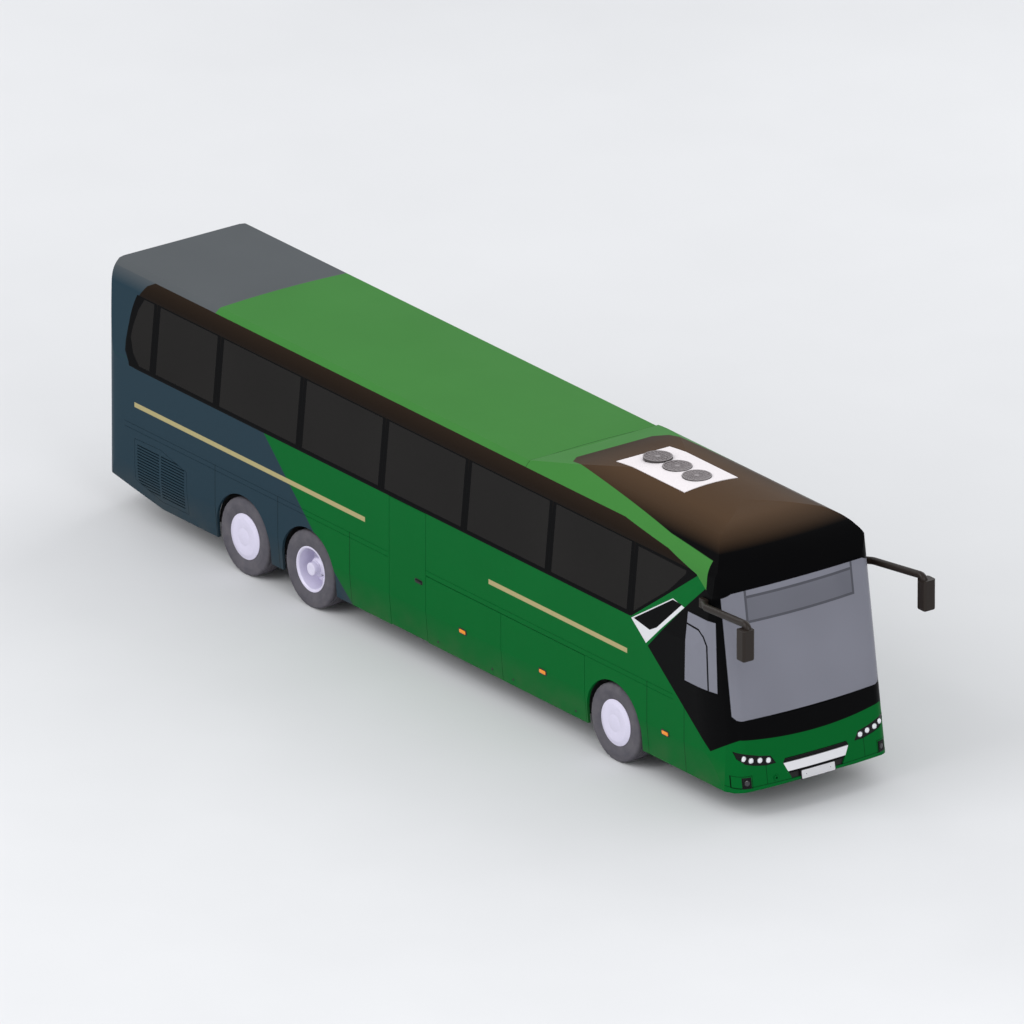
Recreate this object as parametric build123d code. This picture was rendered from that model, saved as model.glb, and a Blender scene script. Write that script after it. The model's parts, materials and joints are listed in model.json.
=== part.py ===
from build123d import *
import os
from math import cos, radians, sin

# Three-axle coach bus, right-hand drive. Lengths are in millimetres. Stations along the bus are
# measured from the front axle, forward positive; Y is positive to the left, Z up from the road.
# save() moves every piece back by ORIGIN_X, so that the origin is under the middle of the bus.
ORIGIN_X = -3975

# Driving dimensions of the body
HALF_W = 1275
NOSE_X = 2580                 # middle of the nose, at RAKE_Z
TAIL_X = -11030
RAKE, RAKE_Z = 0.16, 600      # the nose leans back by this much of its height
ROOF_Z, DOME_Z = 3380, 3600
SILL_Z, WAIST_Z, GUTTER_Z = 330, 1256, 3295
SKIN, WALL, GLASS = 40, 60, 9
GAP = 6                       # shut line round every door and flap
NOSE_ROUNDS = [(1570, 17.8), (220, 83.0)]   # radius, heading reached, from the side to the front
TAIL_ROUNDS = [(2000, 4.0), (260, 75.0)]
BROW_START, BROW_AXIS = 1048, -6140          # where the dome starts to fall, and the axis of its bowed front
FAR = 14000

# Axles and wheels
DRIVE_X, TAG_X = -6490, -7890
TYRE_R, TYRE_W = 522, 290
AXLE_Z = TYRE_R
WHEEL_Y = 1105                # middle plane of a single wheel
KINGPIN_Y = 940
TWIN_Y = (1105, 785)
ARCH_R, LINER_R = 575, 632
SPINDLE_R, FIT = 45, 0.06

# Side glass: pillars between panes, by the rear edge of each
PILLARS = (-9900, -8530, -6750, -4990, -3230, -1450, 275)
PILLAR_W = 140
GLASS_LOW, GLASS_HIGH = 2160, 3070
BAND_LOW, BAND_REAR = 2105, -10400

# Openings in the sides: front and rear edges
MIDDLE_DOOR = (-4740, -3970)
FLAPS = ((-3964, -2373), (-2367, -605))
ENTRANCE = (780, 1760)
ENTRANCE_TOP = 2560

ARM_PIVOT = (ENTRANCE[1] - 95, 1105)
ARM_REACH, ARM_CRANK = 560, (215, 165)   # pivot to leaf, and the bend of the crank from the pivot
ARM_Z = (1320, 1380)
ARM_PIN_R, ARM_SHAFT_R = 12, 18

os.makedirs("parts", exist_ok=True)


# ---- Outlines and prisms ----

def outline(*steps):
    """Closed face: each step is a point, or a pair (a point passed by the arc, its end)."""
    edges = []
    here = steps[0]
    for step in steps[1:]:
        if isinstance(step[0], tuple):
            edges.append(Edge.make_three_point_arc(here, step[0], step[1]))
            here = step[1]
        else:
            edges.append(Edge.make_line(here, step))
            here = step
    if here != steps[0]:
        edges.append(Edge.make_line(here, steps[0]))
    return Face(Wire(edges))


def lengthwise(face, x0, x1):
    """Outline in (Y, Z), run along X."""
    return Solid.extrude(Plane.YZ.offset(x0) * face, Vector(x1 - x0, 0, 0))


def crosswise(face, y0, y1):
    """Outline in (X, Z), run along Y."""
    return Solid.extrude(Plane.XZ.offset(-y0) * face, Vector(0, y1 - y0, 0))


def upright(face, z0, z1):
    """Outline in (X, Y), run along Z."""
    return Solid.extrude(Plane.XY.offset(z0) * face, Vector(0, 0, z1 - z0))


def block(x0, x1, y0, y1, z0, z1):
    return Pos(x0, y0, z0) * Solid.make_box(x1 - x0, y1 - y0, z1 - z0)


def tube(x, y0, y1, z, r, bore=0):
    """Cylinder across the bus, with an optional bore right through."""
    bar = Solid.make_cylinder(r, y1 - y0, Plane((x, y0, z), z_dir=(0, 1, 0)))
    if bore:
        bar = bar - Solid.make_cylinder(bore, y1 - y0, Plane((x, y0, z), z_dir=(0, 1, 0)))
    return bar


def post(x, y, z0, z1, r):
    return Solid.make_cylinder(r, z1 - z0, Plane((x, y, z0)))


def mirrored(shape):
    return shape.mirror(Plane.XZ)


def fused(*shapes):
    whole = shapes[0]
    for shape in shapes[1:]:
        whole = whole + shape
    return whole


def save(name, *shapes):
    found = [solid for shape in shapes for solid in shape.solids()]
    placed = [Pos(-ORIGIN_X, 0, 0) * solid for solid in found]
    export_step(placed[0] if len(placed) == 1 else Compound(placed), "parts/" + name + ".step")
    print(name, len(placed), "solids", sum(len(solid.faces()) for solid in placed), "faces")


# ---- The closed outer form of the body, at any depth below the skin ----

def plan(depth, end_x, rounds, way):
    """One end of the bus from above: side, two tangent rounds and the bowed end."""
    (ra, ta), (rb, tb) = rounds
    side = HALF_W - ra * (1 - cos(radians(ta))) - rb * (cos(radians(ta)) - cos(radians(tb)))
    rc = side / cos(radians(tb))
    reach = ra * sin(radians(ta)) + rb * (sin(radians(tb)) - sin(radians(ta)))
    x_turn = end_x - way * (reach + rc * (1 - sin(radians(tb))))
    width = HALF_W - depth
    turns = [(ra, ta), (rb, tb - ta), (rc, 180 - 2 * tb), (rb, tb - ta), (ra, ta)]
    edges = [Edge.make_line((-FAR * way, width), (x_turn, width))]
    place, heading = Vector(x_turn, width), Vector(way, 0)
    for radius, angle in turns:
        arc = JernArc(place, heading, radius - depth, -way * angle)
        place, heading = arc @ 1, arc % 1
        edges.append(arc.edge())
    edges.append(Edge.make_line(place, (-FAR * way, -width)))
    edges.append(Edge.make_line((-FAR * way, -width), (-FAR * way, width)))
    return Face(Wire(edges))


def nose(depth):
    face = plan(depth, NOSE_X + RAKE * RAKE_Z, NOSE_ROUNDS, 1)
    return Solid.extrude(face, Vector(-RAKE * 4000, 0, 4000))


def tail(depth):
    return upright(plan(depth, TAIL_X, TAIL_ROUNDS, -1), -200, 4000)


def nose_x(y, z):
    """Station of the nose's skin at a point seen from the front."""
    (ra, ta), (rb, tb) = NOSE_ROUNDS
    side = HALF_W - ra * (1 - cos(radians(ta))) - rb * (cos(radians(ta)) - cos(radians(tb)))
    rc = side / cos(radians(tb))
    lean = RAKE * (z - RAKE_Z)
    if abs(y) <= side:
        return NOSE_X - lean - rc + (rc ** 2 - y ** 2) ** 0.5
    x_centre = NOSE_X - rc * (1 - sin(radians(tb))) - rb * sin(radians(tb))
    y_centre = side - rb * cos(radians(tb))
    return x_centre - lean + (rb ** 2 - (abs(y) - y_centre) ** 2) ** 0.5


def section(depth, passed, shoulder, crown):
    """Tumblehome sides, a rounded shoulder and a crowned roof, all set in by depth."""
    (px, pz), (sx, sz) = passed, shoulder
    face = outline((1235, -600), (1235, SILL_Z), (HALF_W, 760), (HALF_W, 2130), (1187, 3070),
                   (passed, shoulder), ((0, crown), (-sx, sz)), ((-px, pz), (-1187, 3070)),
                   (-HALF_W, 2130), (-HALF_W, 760), (-1235, SILL_Z), (-1235, -600))
    if depth:
        face = offset(Sketch() + face, -depth, kind=Kind.INTERSECTION).faces()[0]
    return lengthwise(face, -12000, 3500)


def brow(depth):
    """What the rounded front of the dome takes off: a bowl turned about an upright axis far behind."""
    flat_r, high_r, low_r = BROW_START - BROW_AXIS, 1950, 680
    first = JernArc((flat_r, DOME_Z - depth), (1, 0), high_r - depth, -22.6)
    second = JernArc(first @ 1, first % 1, low_r - depth, -58.3)
    lip = second @ 1
    corners = [(lip.X, lip.Y), (lip.X + 300, lip.Y - 80), (lip.X + 900, lip.Y - 80), (lip.X + 900, 3800),
               (flat_r, 3800), (flat_r, DOME_Z - depth)]
    edges = [first.edge(), second.edge()]
    edges += [Edge.make_line(a, b) for a, b in zip(corners, corners[1:])]
    turned = revolve(Plane.XZ * Face(Wire(edges)), Axis.Z, 360)
    return (Pos(BROW_AXIS, 0, 0) * turned) & block(700, 3400, -1500, 1500, 2000, 3800)


def roof_line(depth):
    """Side view limit: the rounded top of the tail."""
    back, top, r = TAIL_X + depth, ROOF_Z + 4 - depth, 200 - depth
    face = outline((back, -700), (back, top - r), ((back + 0.293 * r, top - 0.293 * r), (back + r, top)),
                   (4000, top), (4000, -700))
    return crosswise(face, -1500, 1500)


def form(depth):
    base = section(depth, (1118, 3255), (1000, 3355), ROOF_Z) & roof_line(depth)
    rise = outline((-2100, 2000), (-2100, ROOF_Z - 10 - depth),
                   ((-1250, 3515 - depth), (-300, DOME_Z + 2 - depth)), (3500, DOME_Z + 2 - depth),
                   (3500, 2000))
    dome = section(depth, (1060, 3325), (800, 3500), DOME_Z) & crosswise(rise, -1500, 1500)
    whole = ((base + dome) & nose(depth) & tail(depth)) - brow(depth)
    return whole.solids()[0]


# Lower edge of the body from the tail to the nose, and its tuck under the bumper
under_edge = outline((TAIL_X - 100, 4200), (TAIL_X - 100, 510), (-10780, 510), (-10300, 430),
                     (-9660, SILL_Z), (2300, SILL_Z), (2450, 344), (2596, 366), (2640, 430), (2700, 4200))
low_limit = crosswise(under_edge, -1500, 1500)

outer = form(0) & low_limit
inner_skin = form(SKIN)
inner_wall = form(WALL)
print("outer form", outer.is_valid, round(outer.volume / 1e9, 2), "m3", outer.bounding_box())
skin_shell = outer - inner_skin
wall_shell = outer - inner_wall
glass_shell = outer - form(GLASS)
print("shells", len(skin_shell.faces()), len(wall_shell.faces()), len(glass_shell.faces()))


# ---- Body panels, cut from the shells ----

RIGHT = -1
JOINT_REAR_X, CORNER_X = -10430, 2280
DOME_REAR_X = -2100
MASK_Z = 562                   # joint between the bumper and the front mask
PILLAR_Y = 1095                # windscreen aperture half width
SCREEN_Y, SCREEN_LOW = 1165, 1262


def side_block(way, x0, x1, z0, z1, y_in=900):
    low, high = (y_in, 1400) if way > 0 else (-1400, -y_in)
    return block(x0, x1, low, high, z0, z1)


def side_prism(way, face, y_in=900):
    return crosswise(face, y_in, 1400) if way > 0 else crosswise(face, -1400, -y_in)


# Roof joint in side view: level along the gutter, then down beside the dome to the windscreen
roof_edge = outline((-11200, GUTTER_Z), (0, GUTTER_Z), (1000, 3200), (1630, 3060), (1930, 2862),
                    (2250, 2940), (2800, 2940), (2800, 3800), (-11200, 3800))
above_gutter = crosswise(roof_edge, -1400, 1400)

# Panes between pillar middles, in side view
middles = [BAND_REAR + 8] + [x + PILLAR_W / 2 for x in PILLARS]
pane_faces = []
for rear, front in zip(middles, middles[1:]):
    corners = [(rear + 4, BAND_LOW + 5), (front - 4, BAND_LOW + 5), (front - 4, 3085), (rear + 4, 3085)]
    pane_faces.append(outline(*corners))
pane_faces[0] = outline((-10335, BAND_LOW + 5), (middles[1] - 4, BAND_LOW + 5), (middles[1] - 4, 3085),
                        (-10270, 3085), ((-10395, 2700), (-10335, BAND_LOW + 5)))
corner_pane = {RIGHT: outline((349, 2110), (378, 2110), (1150, 2672), (1660, 3050), (1650, 3085), (349, 3085)),
               1: outline((349, 2110), (378, 2110), (740, 2374), (740, 3085), (349, 3085))}
apertures = []
for rear, front in zip(PILLARS, PILLARS[1:]):
    apertures.append(outline((rear + PILLAR_W, GLASS_LOW), (front, GLASS_LOW), (front, GLASS_HIGH),
                             (rear + PILLAR_W, GLASS_HIGH)))
apertures.append(outline((-10270, GLASS_LOW), (PILLARS[0], GLASS_LOW), (PILLARS[0], GLASS_HIGH),
                         (-10230, GLASS_HIGH), ((-10330, 2650), (-10270, GLASS_LOW))))
corner_aperture = {RIGHT: outline((415, 2200), (1100, 2700), (1100, 3040), (415, 3040)),
                   1: outline((415, 2200), (690, 2400), (690, 3040), (415, 3040))}
driver_aperture = outline((1500, 1600), (2120, 1600), (2050, 2530), (1520, 2530))
driver_pane = outline((1465, 1565), (2150, 1565), (2076, 2566), (1486, 2566))

screen_zone = block(1700, 2700, -SCREEN_Y, SCREEN_Y, SCREEN_LOW, 2935)
screen_hole = block(1700, 2700, -PILLAR_Y, PILLAR_Y, SCREEN_LOW + 45, 2935)
screen_glass = (glass_shell & screen_zone) - above_gutter
save("windscreen", screen_glass.solids()[0])

panes = []
frames = {}
for way, name in ((RIGHT, "right"), (1, "left")):
    frame = wall_shell & side_block(way, JOINT_REAR_X, 2700, WAIST_Z, 3400, 600)
    frame = frame - above_gutter - screen_hole - (glass_shell & screen_zone)
    for face in pane_faces + [corner_pane[way]]:
        hole = side_prism(way, face)
        frame = frame - (glass_shell & hole)
        panes.append((glass_shell & hole) - above_gutter)
    for face in apertures + [corner_aperture[way]]:
        frame = frame - side_prism(way, face)
    for z in (WAIST_Z, 1326):
        frame = frame - side_block(way, JOINT_REAR_X, 1250, z, z + 8, HALF_W - 5)
    frames[way] = frame

driver_hole = side_prism(RIGHT, driver_pane)
panes.append(glass_shell & driver_hole)
frames[RIGHT] = frames[RIGHT] - (glass_shell & driver_hole) - side_prism(RIGHT, driver_aperture)
save("side_glass", *panes)

door_gap = side_block(RIGHT, MIDDLE_DOOR[0] - GAP, MIDDLE_DOOR[1] + GAP, 0, BAND_LOW)
entrance_gap = side_block(1, ENTRANCE[0] - GAP, ENTRANCE[1] + 11, 0, ENTRANCE_TOP + GAP)
frames[RIGHT] = frames[RIGHT] - door_gap
frames[1] = frames[1] - entrance_gap
px, py = ARM_PIVOT
for low, high in ((ARM_Z[0] - 35, ARM_Z[0] - 5), (ARM_Z[1] + 5, ARM_Z[1] + 35)):
    bracket = block(px - 32, px + 170, py - 28, py + 28, low, high)
    bracket = bracket + block(px + 115, px + 170, py, HALF_W - WALL + 5, low, high)
    frames[1] = frames[1] + (bracket - post(px, py, low, high, ARM_SHAFT_R + FIT))
save("side_frame_right", frames[RIGHT])
save("side_frame_left", frames[1])
print("frames done")

# Skirts below the waist, with the wheel arches and without the doors and flaps
radiator_face = outline((-10215, 1140), (-10215, 575), (-9660, 440), (-9085, 450), (-9100, 1025),
                        (-9660, 1155))
skirts = {}
for way in (RIGHT, 1):
    skirt = skin_shell & side_block(way, JOINT_REAR_X, CORNER_X, 0, WAIST_Z, 600)
    for x in (0, DRIVE_X, TAG_X):
        skirt = skirt - side_block(way, x - ARCH_R, x + ARCH_R, 0, AXLE_Z)
        skirt = skirt - tube(x, -1400 if way < 0 else 900, -900 if way < 0 else 1400, AXLE_Z, ARCH_R)
    skirt = skirt - side_block(way, FLAPS[0][0] - GAP, FLAPS[1][1] + GAP, 0, WAIST_Z)
    skirts[way] = skirt
wide_face = offset(Sketch() + radiator_face, GAP).faces()[0]
skirts[RIGHT] = skirts[RIGHT] - door_gap - side_prism(RIGHT, wide_face)
skirts[1] = skirts[1] - entrance_gap
save("skirt_right", skirts[RIGHT])
save("skirt_left", skirts[1])

# Doors and flaps
middle_door = wall_shell & side_block(RIGHT, *MIDDLE_DOOR, SILL_Z + 12, BAND_LOW - GAP)
save("middle_door", middle_door)
entrance_leaf = wall_shell & side_block(1, *ENTRANCE, SILL_Z + 12, ENTRANCE_TOP)
entrance_pane = side_block(1, ENTRANCE[0] + 70, ENTRANCE[1] - 70, 1500, ENTRANCE_TOP - 70)
entrance_hole = side_block(1, ENTRANCE[0] + 110, ENTRANCE[1] - 110, 1540, ENTRANCE_TOP - 110)
save("entrance_glass", glass_shell & entrance_pane)
entrance_leaf = entrance_leaf - (glass_shell & entrance_pane) - entrance_hole
qx, qy = ARM_PIVOT[0] - ARM_REACH, ARM_PIVOT[1]
for low, high in ((ARM_Z[0] - 28, ARM_Z[0] - 3), (ARM_Z[1] + 3, ARM_Z[1] + 28)):
    entrance_leaf = entrance_leaf + block(qx - 24, qx + 24, qy - 14, HALF_W - WALL + 5, low, high)
entrance_leaf = entrance_leaf + post(qx, qy, ARM_Z[0] - 28, ARM_Z[1] + 28, ARM_PIN_R)
save("entrance_door", entrance_leaf)
for way, side in ((RIGHT, "right"), (1, "left")):
    for (rear, front), place in zip(FLAPS, ("rear", "front")):
        flap = skin_shell & side_block(way, rear, front, SILL_Z, WAIST_Z - GAP)
        save("flap_" + side + "_" + place, flap)
radiator_flap = skin_shell & side_prism(RIGHT, radiator_face)
for i in range(15):
    z = 500 + 40 * i
    radiator_flap = radiator_flap - side_block(RIGHT, -10160, -9690, z, z + 18)
    radiator_flap = radiator_flap - side_block(RIGHT, -9650, -9150, z, z + 18)
save("radiator_flap", radiator_flap)
print("skirts done")

# Roof, dome and the roof unit
roof_all = wall_shell & above_gutter
save("roof_skin", roof_all & block(-11200, DOME_REAR_X, -1400, 1400, 3000, 3800))
save("roof_dome", roof_all & block(DOME_REAR_X, 2800, -1400, 1400, 2500, 3800))

# Front: mask, bumper, lamps and grille
TOW_FRONT, TOW_REAR = (2592, -640, 470), (-11026, 300, 640)
TOW_R, TOW_DEPTH, TOW_BOSS = 18, 80, 36


def tow_socket(bumper, mouth, way):
    """Round boss with a blind bore for the screw-in towing eye, its mouth towards way."""
    aim = Plane(mouth, z_dir=(-way, 0, 0))
    boss = Solid.make_cylinder(TOW_BOSS, TOW_DEPTH + 20, aim)
    return (bumper + boss) - Solid.make_cylinder(TOW_R, TOW_DEPTH, aim)


front_zone = block(CORNER_X, 2800, -1400, 1400, 0, WAIST_Z)
lamp_face = outline((615, 655), (690, 765), (860, 795), (1178, 885), (1152, 790), (1060, 715), (940, 680),
                    (760, 650))
lamp_prism = lengthwise(lamp_face, 1900, 2800)
fog_prism = block(1900, 2800, 1000, 1120, 402, 546)
grille_face = outline((-484, 690), (-516, 637), (-398, 405), (398, 405), (516, 637), (484, 690))
grille_prism = lengthwise(grille_face, 1900, 2800)
front_cuts = [lamp_prism, mirrored(lamp_prism), fog_prism, mirrored(fog_prism), grille_prism]
front = skin_shell & front_zone
for cut in front_cuts:
    front = front - cut
save("front_mask", front & block(2000, 2800, -1400, 1400, MASK_Z, WAIST_Z))
bumper = front & block(2000, 2800, -1400, 1400, 0, MASK_Z)
save("front_bumper", tow_socket(bumper, TOW_FRONT, 1))
recessed = form(8)
lamp_shell = (recessed & low_limit) - inner_skin
lamp = (lamp_shell & front_zone) & lamp_prism
for y, z in ((725, 712), (848, 733), (976, 752), (1077, 790)):
    x = nose_x(y, z)
    lamp = lamp + Solid.make_cylinder(36, 42, Plane((x - 46, y, z), z_dir=(1, 0, 0)))
fog = skin_shell & fog_prism
save("front_lamps", lamp, mirrored(lamp), fog, mirrored(fog))
bar_face = outline((-512, 628), (-455, 512), (455, 512), (512, 628))
grille = ((form(22) & low_limit) - inner_skin) & grille_prism
grille = grille + ((skin_shell & lengthwise(bar_face, 1900, 2800)) & grille_prism)
for z in (648, 668):
    grille = grille + ((skin_shell & block(1900, 2800, -600, 600, z, z + 8)) & grille_prism)
save("front_grille", grille)
print("front done")

# Rear: wall with window, lamps, engine flap and bumper
rear_zone = block(-11200, JOINT_REAR_X, -1400, 1400, 0, GUTTER_Z)
rear_pane = block(-11200, -10500, -1010, 1010, 2190, 3010)
rear_hole = block(-11200, -10500, -955, 955, 2245, 2955)
flap_zone = block(-11200, -10500, -850, 850, 790, 1880)
flap_hole = block(-11200, -10500, -850 - GAP, 850 + GAP, 790 - GAP, 1880 + GAP)
tail_face = outline((985, 905), (1130, 905), (1180, 1000), (1180, 1560), (1080, 1640), (985, 1640))
tail_prism = lengthwise(tail_face, -11200, -10450)
rear_shell = wall_shell & rear_zone
rear_wall = rear_shell & block(-11200, -10000, -1400, 1400, 760, GUTTER_Z)
rear_wall = rear_wall - (glass_shell & rear_pane) - rear_hole - flap_hole
for prism in (tail_prism, mirrored(tail_prism)):
    rear_wall = rear_wall - (skin_shell & prism)
save("rear_wall", rear_wall)
save("rear_glass", glass_shell & rear_pane)
save("engine_flap", skin_shell & flap_zone)
tail_lamp = skin_shell & tail_prism
save("tail_lamps", tail_lamp, mirrored(tail_lamp))
bumper = (skin_shell & rear_zone) & block(-11200, -10000, -1400, 1400, 0, 760)
save("rear_bumper", tow_socket(bumper, TOW_REAR, -1))
print("rear done")


# ---- Floors, stairs, luggage bay and underframe ----

FLOOR_Z, FLOOR_T = WAIST_Z, 60
CAB_X, CAB_Z = 700, 896            # raised step down to the driver's platform, and its height
STAIR_Y = (422, 1160)              # entrance stairwell, from its inner edge to the door
MIDDLE_STAIR_Y = (440, 1160)
BAY = (-3925, -675)
BAY_Z, BAY_HALF = 400, 1180
RAIL_Y = (330, 410)
RAIL_FRONT_Z, RAIL_REAR_Z = 700, 1040
FLOOR_LOW = FLOOR_Z - FLOOR_T
CAB_LOW = CAB_Z - FLOOR_T

room = form(WALL)
slab = room & block(-10960, CAB_X, -1400, 1400, FLOOR_LOW, FLOOR_Z)
slab = slab - block(MIDDLE_DOOR[0], MIDDLE_DOOR[1], -1400, -MIDDLE_STAIR_Y[0], 1000, 1400)
platform = inner_skin & block(CAB_X - 40, 2330, -1400, 1400, CAB_LOW, CAB_Z)
platform = platform - block(ENTRANCE[0] - 20, ENTRANCE[1] + 20, STAIR_Y[0], 1400, 700, 1000)
platform = platform - entrance_gap - side_block(1, CAB_X - 40, ENTRANCE[1] + 20, 700, 1000, 1180)
riser = block(CAB_X - 40, CAB_X, -1190, 1190, CAB_LOW, FLOOR_LOW + 10)
aisle_step = block(CAB_X, CAB_X + 260, -240, 240, CAB_Z, CAB_Z + 180)
save("saloon_floor", fused(slab, riser, platform, aisle_step))


def stair(y_in, y_out, z_low, z_high, count, thick=25):
    """Stepped plate seen along the bus, climbing inwards from the door."""
    tread, rise = (y_out - y_in) / count, (z_high - z_low) / count
    top = [(y_out, z_low)]
    for i in range(count):
        top.append((y_out - tread * (i + 1), z_low + rise * i))
        top.append((y_out - tread * (i + 1), z_low + rise * (i + 1)))
    top = top[:-1]
    under = [(y - thick, z - thick) for y, z in reversed(top)]
    return outline(*top, (y_in, z_high), (y_in - thick, z_high), *under[:-1], (y_out, z_low - thick))


def stairwell(y_in, y_out, z_high, x0, x1):
    steps = lengthwise(stair(y_in + 26, y_out, 380, z_high, 4), x0, x1)
    cheek = outline((y_in + 1, 355), (y_out, 355), (y_out, z_high), (y_in + 1, z_high))
    return fused(steps, lengthwise(cheek, x0 - 12, x0), lengthwise(cheek, x1, x1 + 12))


front_stairs = stairwell(*STAIR_Y, CAB_LOW, ENTRANCE[0] - 4, ENTRANCE[1] + 4)
middle_stairs = mirrored(stairwell(*MIDDLE_STAIR_Y, FLOOR_LOW, MIDDLE_DOOR[0] + 14, MIDDLE_DOOR[1] - 14))
save("stairwells", front_stairs, middle_stairs)

bay = fused(block(BAY[0], BAY[1], -BAY_HALF, BAY_HALF, BAY_Z, BAY_Z + 30),
            block(BAY[0], BAY[0] + 30, -BAY_HALF, BAY_HALF, BAY_Z, FLOOR_LOW),
            block(BAY[1] - 30, BAY[1], -BAY_HALF, BAY_HALF, BAY_Z, FLOOR_LOW))
save("luggage_bay", bay)

rail_face = outline((2240, CAB_LOW), (BAY[1] + 2, CAB_LOW), (BAY[1] + 2, BAY_Z), (BAY[0] - 2, BAY_Z),
                    (BAY[0] - 2, FLOOR_LOW), (-10420, FLOOR_LOW), (-10420, RAIL_REAR_Z),
                    (BAY[0] - 110, RAIL_REAR_Z), (BAY[0] - 110, SILL_Z + 10), (BAY[1] + 80, SILL_Z + 10),
                    (BAY[1] + 80, RAIL_FRONT_Z), (2240, RAIL_FRONT_Z))
rails = [crosswise(rail_face, RAIL_Y[0], RAIL_Y[1]), crosswise(rail_face, -RAIL_Y[1], -RAIL_Y[0])]
# Cross members between the rails: rear edge, front edge, lower and upper height
cross_members = ((2140, 2240, 700, 836), (760, 840, 700, 836), (-590, -520, 700, 836),
                 (-2350, -2250, 340, 400), (-5400, -5300, 1040, 1196), (-6000, -5920, 1040, 1196),
                 (-7230, -7150, 1040, 1196), (-8500, -8420, 1040, 1196))
ties = [block(x0, x1, -RAIL_Y[0], RAIL_Y[0], z0, z1) for x0, x1, z0, z1 in cross_members]
# Outriggers that carry the skirts
outriggers = []
for x0, x1, z0 in ((-5400, -5340, 1100), (-8560, -8500, 1100), (-10420, -10360, 1100)):
    outriggers.append(block(x0, x1, RAIL_Y[1], HALF_W - SKIN, z0, FLOOR_LOW))
    outriggers.append(block(x0, x1, -HALF_W + SKIN, -RAIL_Y[1], z0, FLOOR_LOW))
save("underframe", fused(*rails, *ties, *outriggers))

liners = []
for x, r, y_in in ((0, LINER_R, 470), (DRIVE_X, 600, 560), (TAG_X, 600, 560)):
    ring = outline((x + r + 8, AXLE_Z), ((x, AXLE_Z + r + 8), (x - r - 8, AXLE_Z)), (x - r, AXLE_Z),
                   ((x, AXLE_Z + r), (x + r, AXLE_Z)))
    liner = crosswise(ring, y_in, 1192)
    liners += [liner, mirrored(liner)]
save("arch_liners", *liners)

ENGINE = (-10350, -9050, -RAIL_Y[0], RAIL_Y[0], 470, FLOOR_LOW)
save("engine_block", block(*ENGINE))

# ---- Axles, knuckles and wheels ----

PIN_R, EYE_R = 30, 56
EYE_Z = (AXLE_Z - 62, AXLE_Z + 62)
YOKE_Z = (EYE_Z[0] - 40, EYE_Z[1] + 40)
YOKE_Y = (KINGPIN_Y + 66, KINGPIN_Y + 94)
BEAM_TOP = AXLE_Z + 50


def bellows(x, y, z0, z1, r=105):
    """Air spring: three rolls between two plates."""
    step = (z1 - z0) / 3
    profile = [(0, z0), (r - 12, z0)]
    for i in range(3):
        z = z0 + i * step
        profile.append(((r, z + step / 2), (r - 12, z + step)))
    profile.append((0, z1))
    return Pos(x, y, 0) * revolve(Plane.XZ * outline(*profile), Axis.Z, 360)


def spindle(y0, y1, x):
    return tube(x, y0, y1, AXLE_Z, SPINDLE_R)


beam = outline((-55, AXLE_Z - 55), (55, AXLE_Z - 55), (55, BEAM_TOP), (-55, BEAM_TOP))
eye = post(0, KINGPIN_Y, EYE_Z[0], EYE_Z[1], EYE_R) - post(0, KINGPIN_Y, 300, 800, PIN_R + FIT)
arm = crosswise(beam, 0, KINGPIN_Y - PIN_R - 8) - post(0, KINGPIN_Y, 300, 800, EYE_R - 1)
half_axle = fused(arm, eye, bellows(0, 370, BEAM_TOP, RAIL_FRONT_Z))
save("front_axle", fused(half_axle, mirrored(half_axle)))

knuckle = fused(post(0, KINGPIN_Y, YOKE_Z[0], EYE_Z[0] - 2, EYE_R), post(0, KINGPIN_Y, EYE_Z[1] + 2, YOKE_Z[1], EYE_R),
                post(0, KINGPIN_Y, YOKE_Z[0], YOKE_Z[1], PIN_R),
                block(-50, 50, KINGPIN_Y, YOKE_Y[1], YOKE_Z[0], EYE_Z[0] - 2),
                block(-50, 50, KINGPIN_Y, YOKE_Y[1], EYE_Z[1] + 2, YOKE_Z[1]),
                block(-70, 70, YOKE_Y[0], YOKE_Y[1], YOKE_Z[0], YOKE_Z[1]),
                spindle(YOKE_Y[1], 1172, 0))
save("knuckle_left", knuckle)
save("knuckle_right", mirrored(knuckle))

# Drive axle: banjo housing between two tapered tubes; tag axle: a plain tube
bowl = Solid.make_cylinder(195, 170, Plane((DRIVE_X - 85, 0, AXLE_Z), z_dir=(1, 0, 0)))
snout = Solid.make_cone(165, 70, 150, Plane((DRIVE_X + 85, 0, AXLE_Z), z_dir=(1, 0, 0)))
cover = Solid.make_cone(165, 90, 60, Plane((DRIVE_X - 85, 0, AXLE_Z), z_dir=(-1, 0, 0)))
banjo = fused(tube(DRIVE_X, -560, 560, AXLE_Z, 95), bowl, snout, cover)
half = fused(tube(DRIVE_X, 560, 880, AXLE_Z, 72), spindle(880, 1120, DRIVE_X),
             bellows(DRIVE_X + 190, 370, AXLE_Z + 60, RAIL_REAR_Z),
             bellows(DRIVE_X - 190, 370, AXLE_Z + 60, RAIL_REAR_Z),
             block(DRIVE_X - 300, DRIVE_X + 300, 300, 440, AXLE_Z + 20, AXLE_Z + 60))
save("drive_axle", fused(banjo, half, mirrored(half)))
half = fused(tube(TAG_X, 0, 1000, AXLE_Z, 75), spindle(1000, 1172, TAG_X),
             bellows(TAG_X - 190, 370, AXLE_Z + 60, RAIL_REAR_Z),
             bellows(TAG_X + 190, 370, AXLE_Z + 60, RAIL_REAR_Z),
             block(TAG_X - 300, TAG_X + 300, 300, 440, AXLE_Z + 20, AXLE_Z + 60))
save("tag_axle", fused(half, mirrored(half)))

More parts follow.
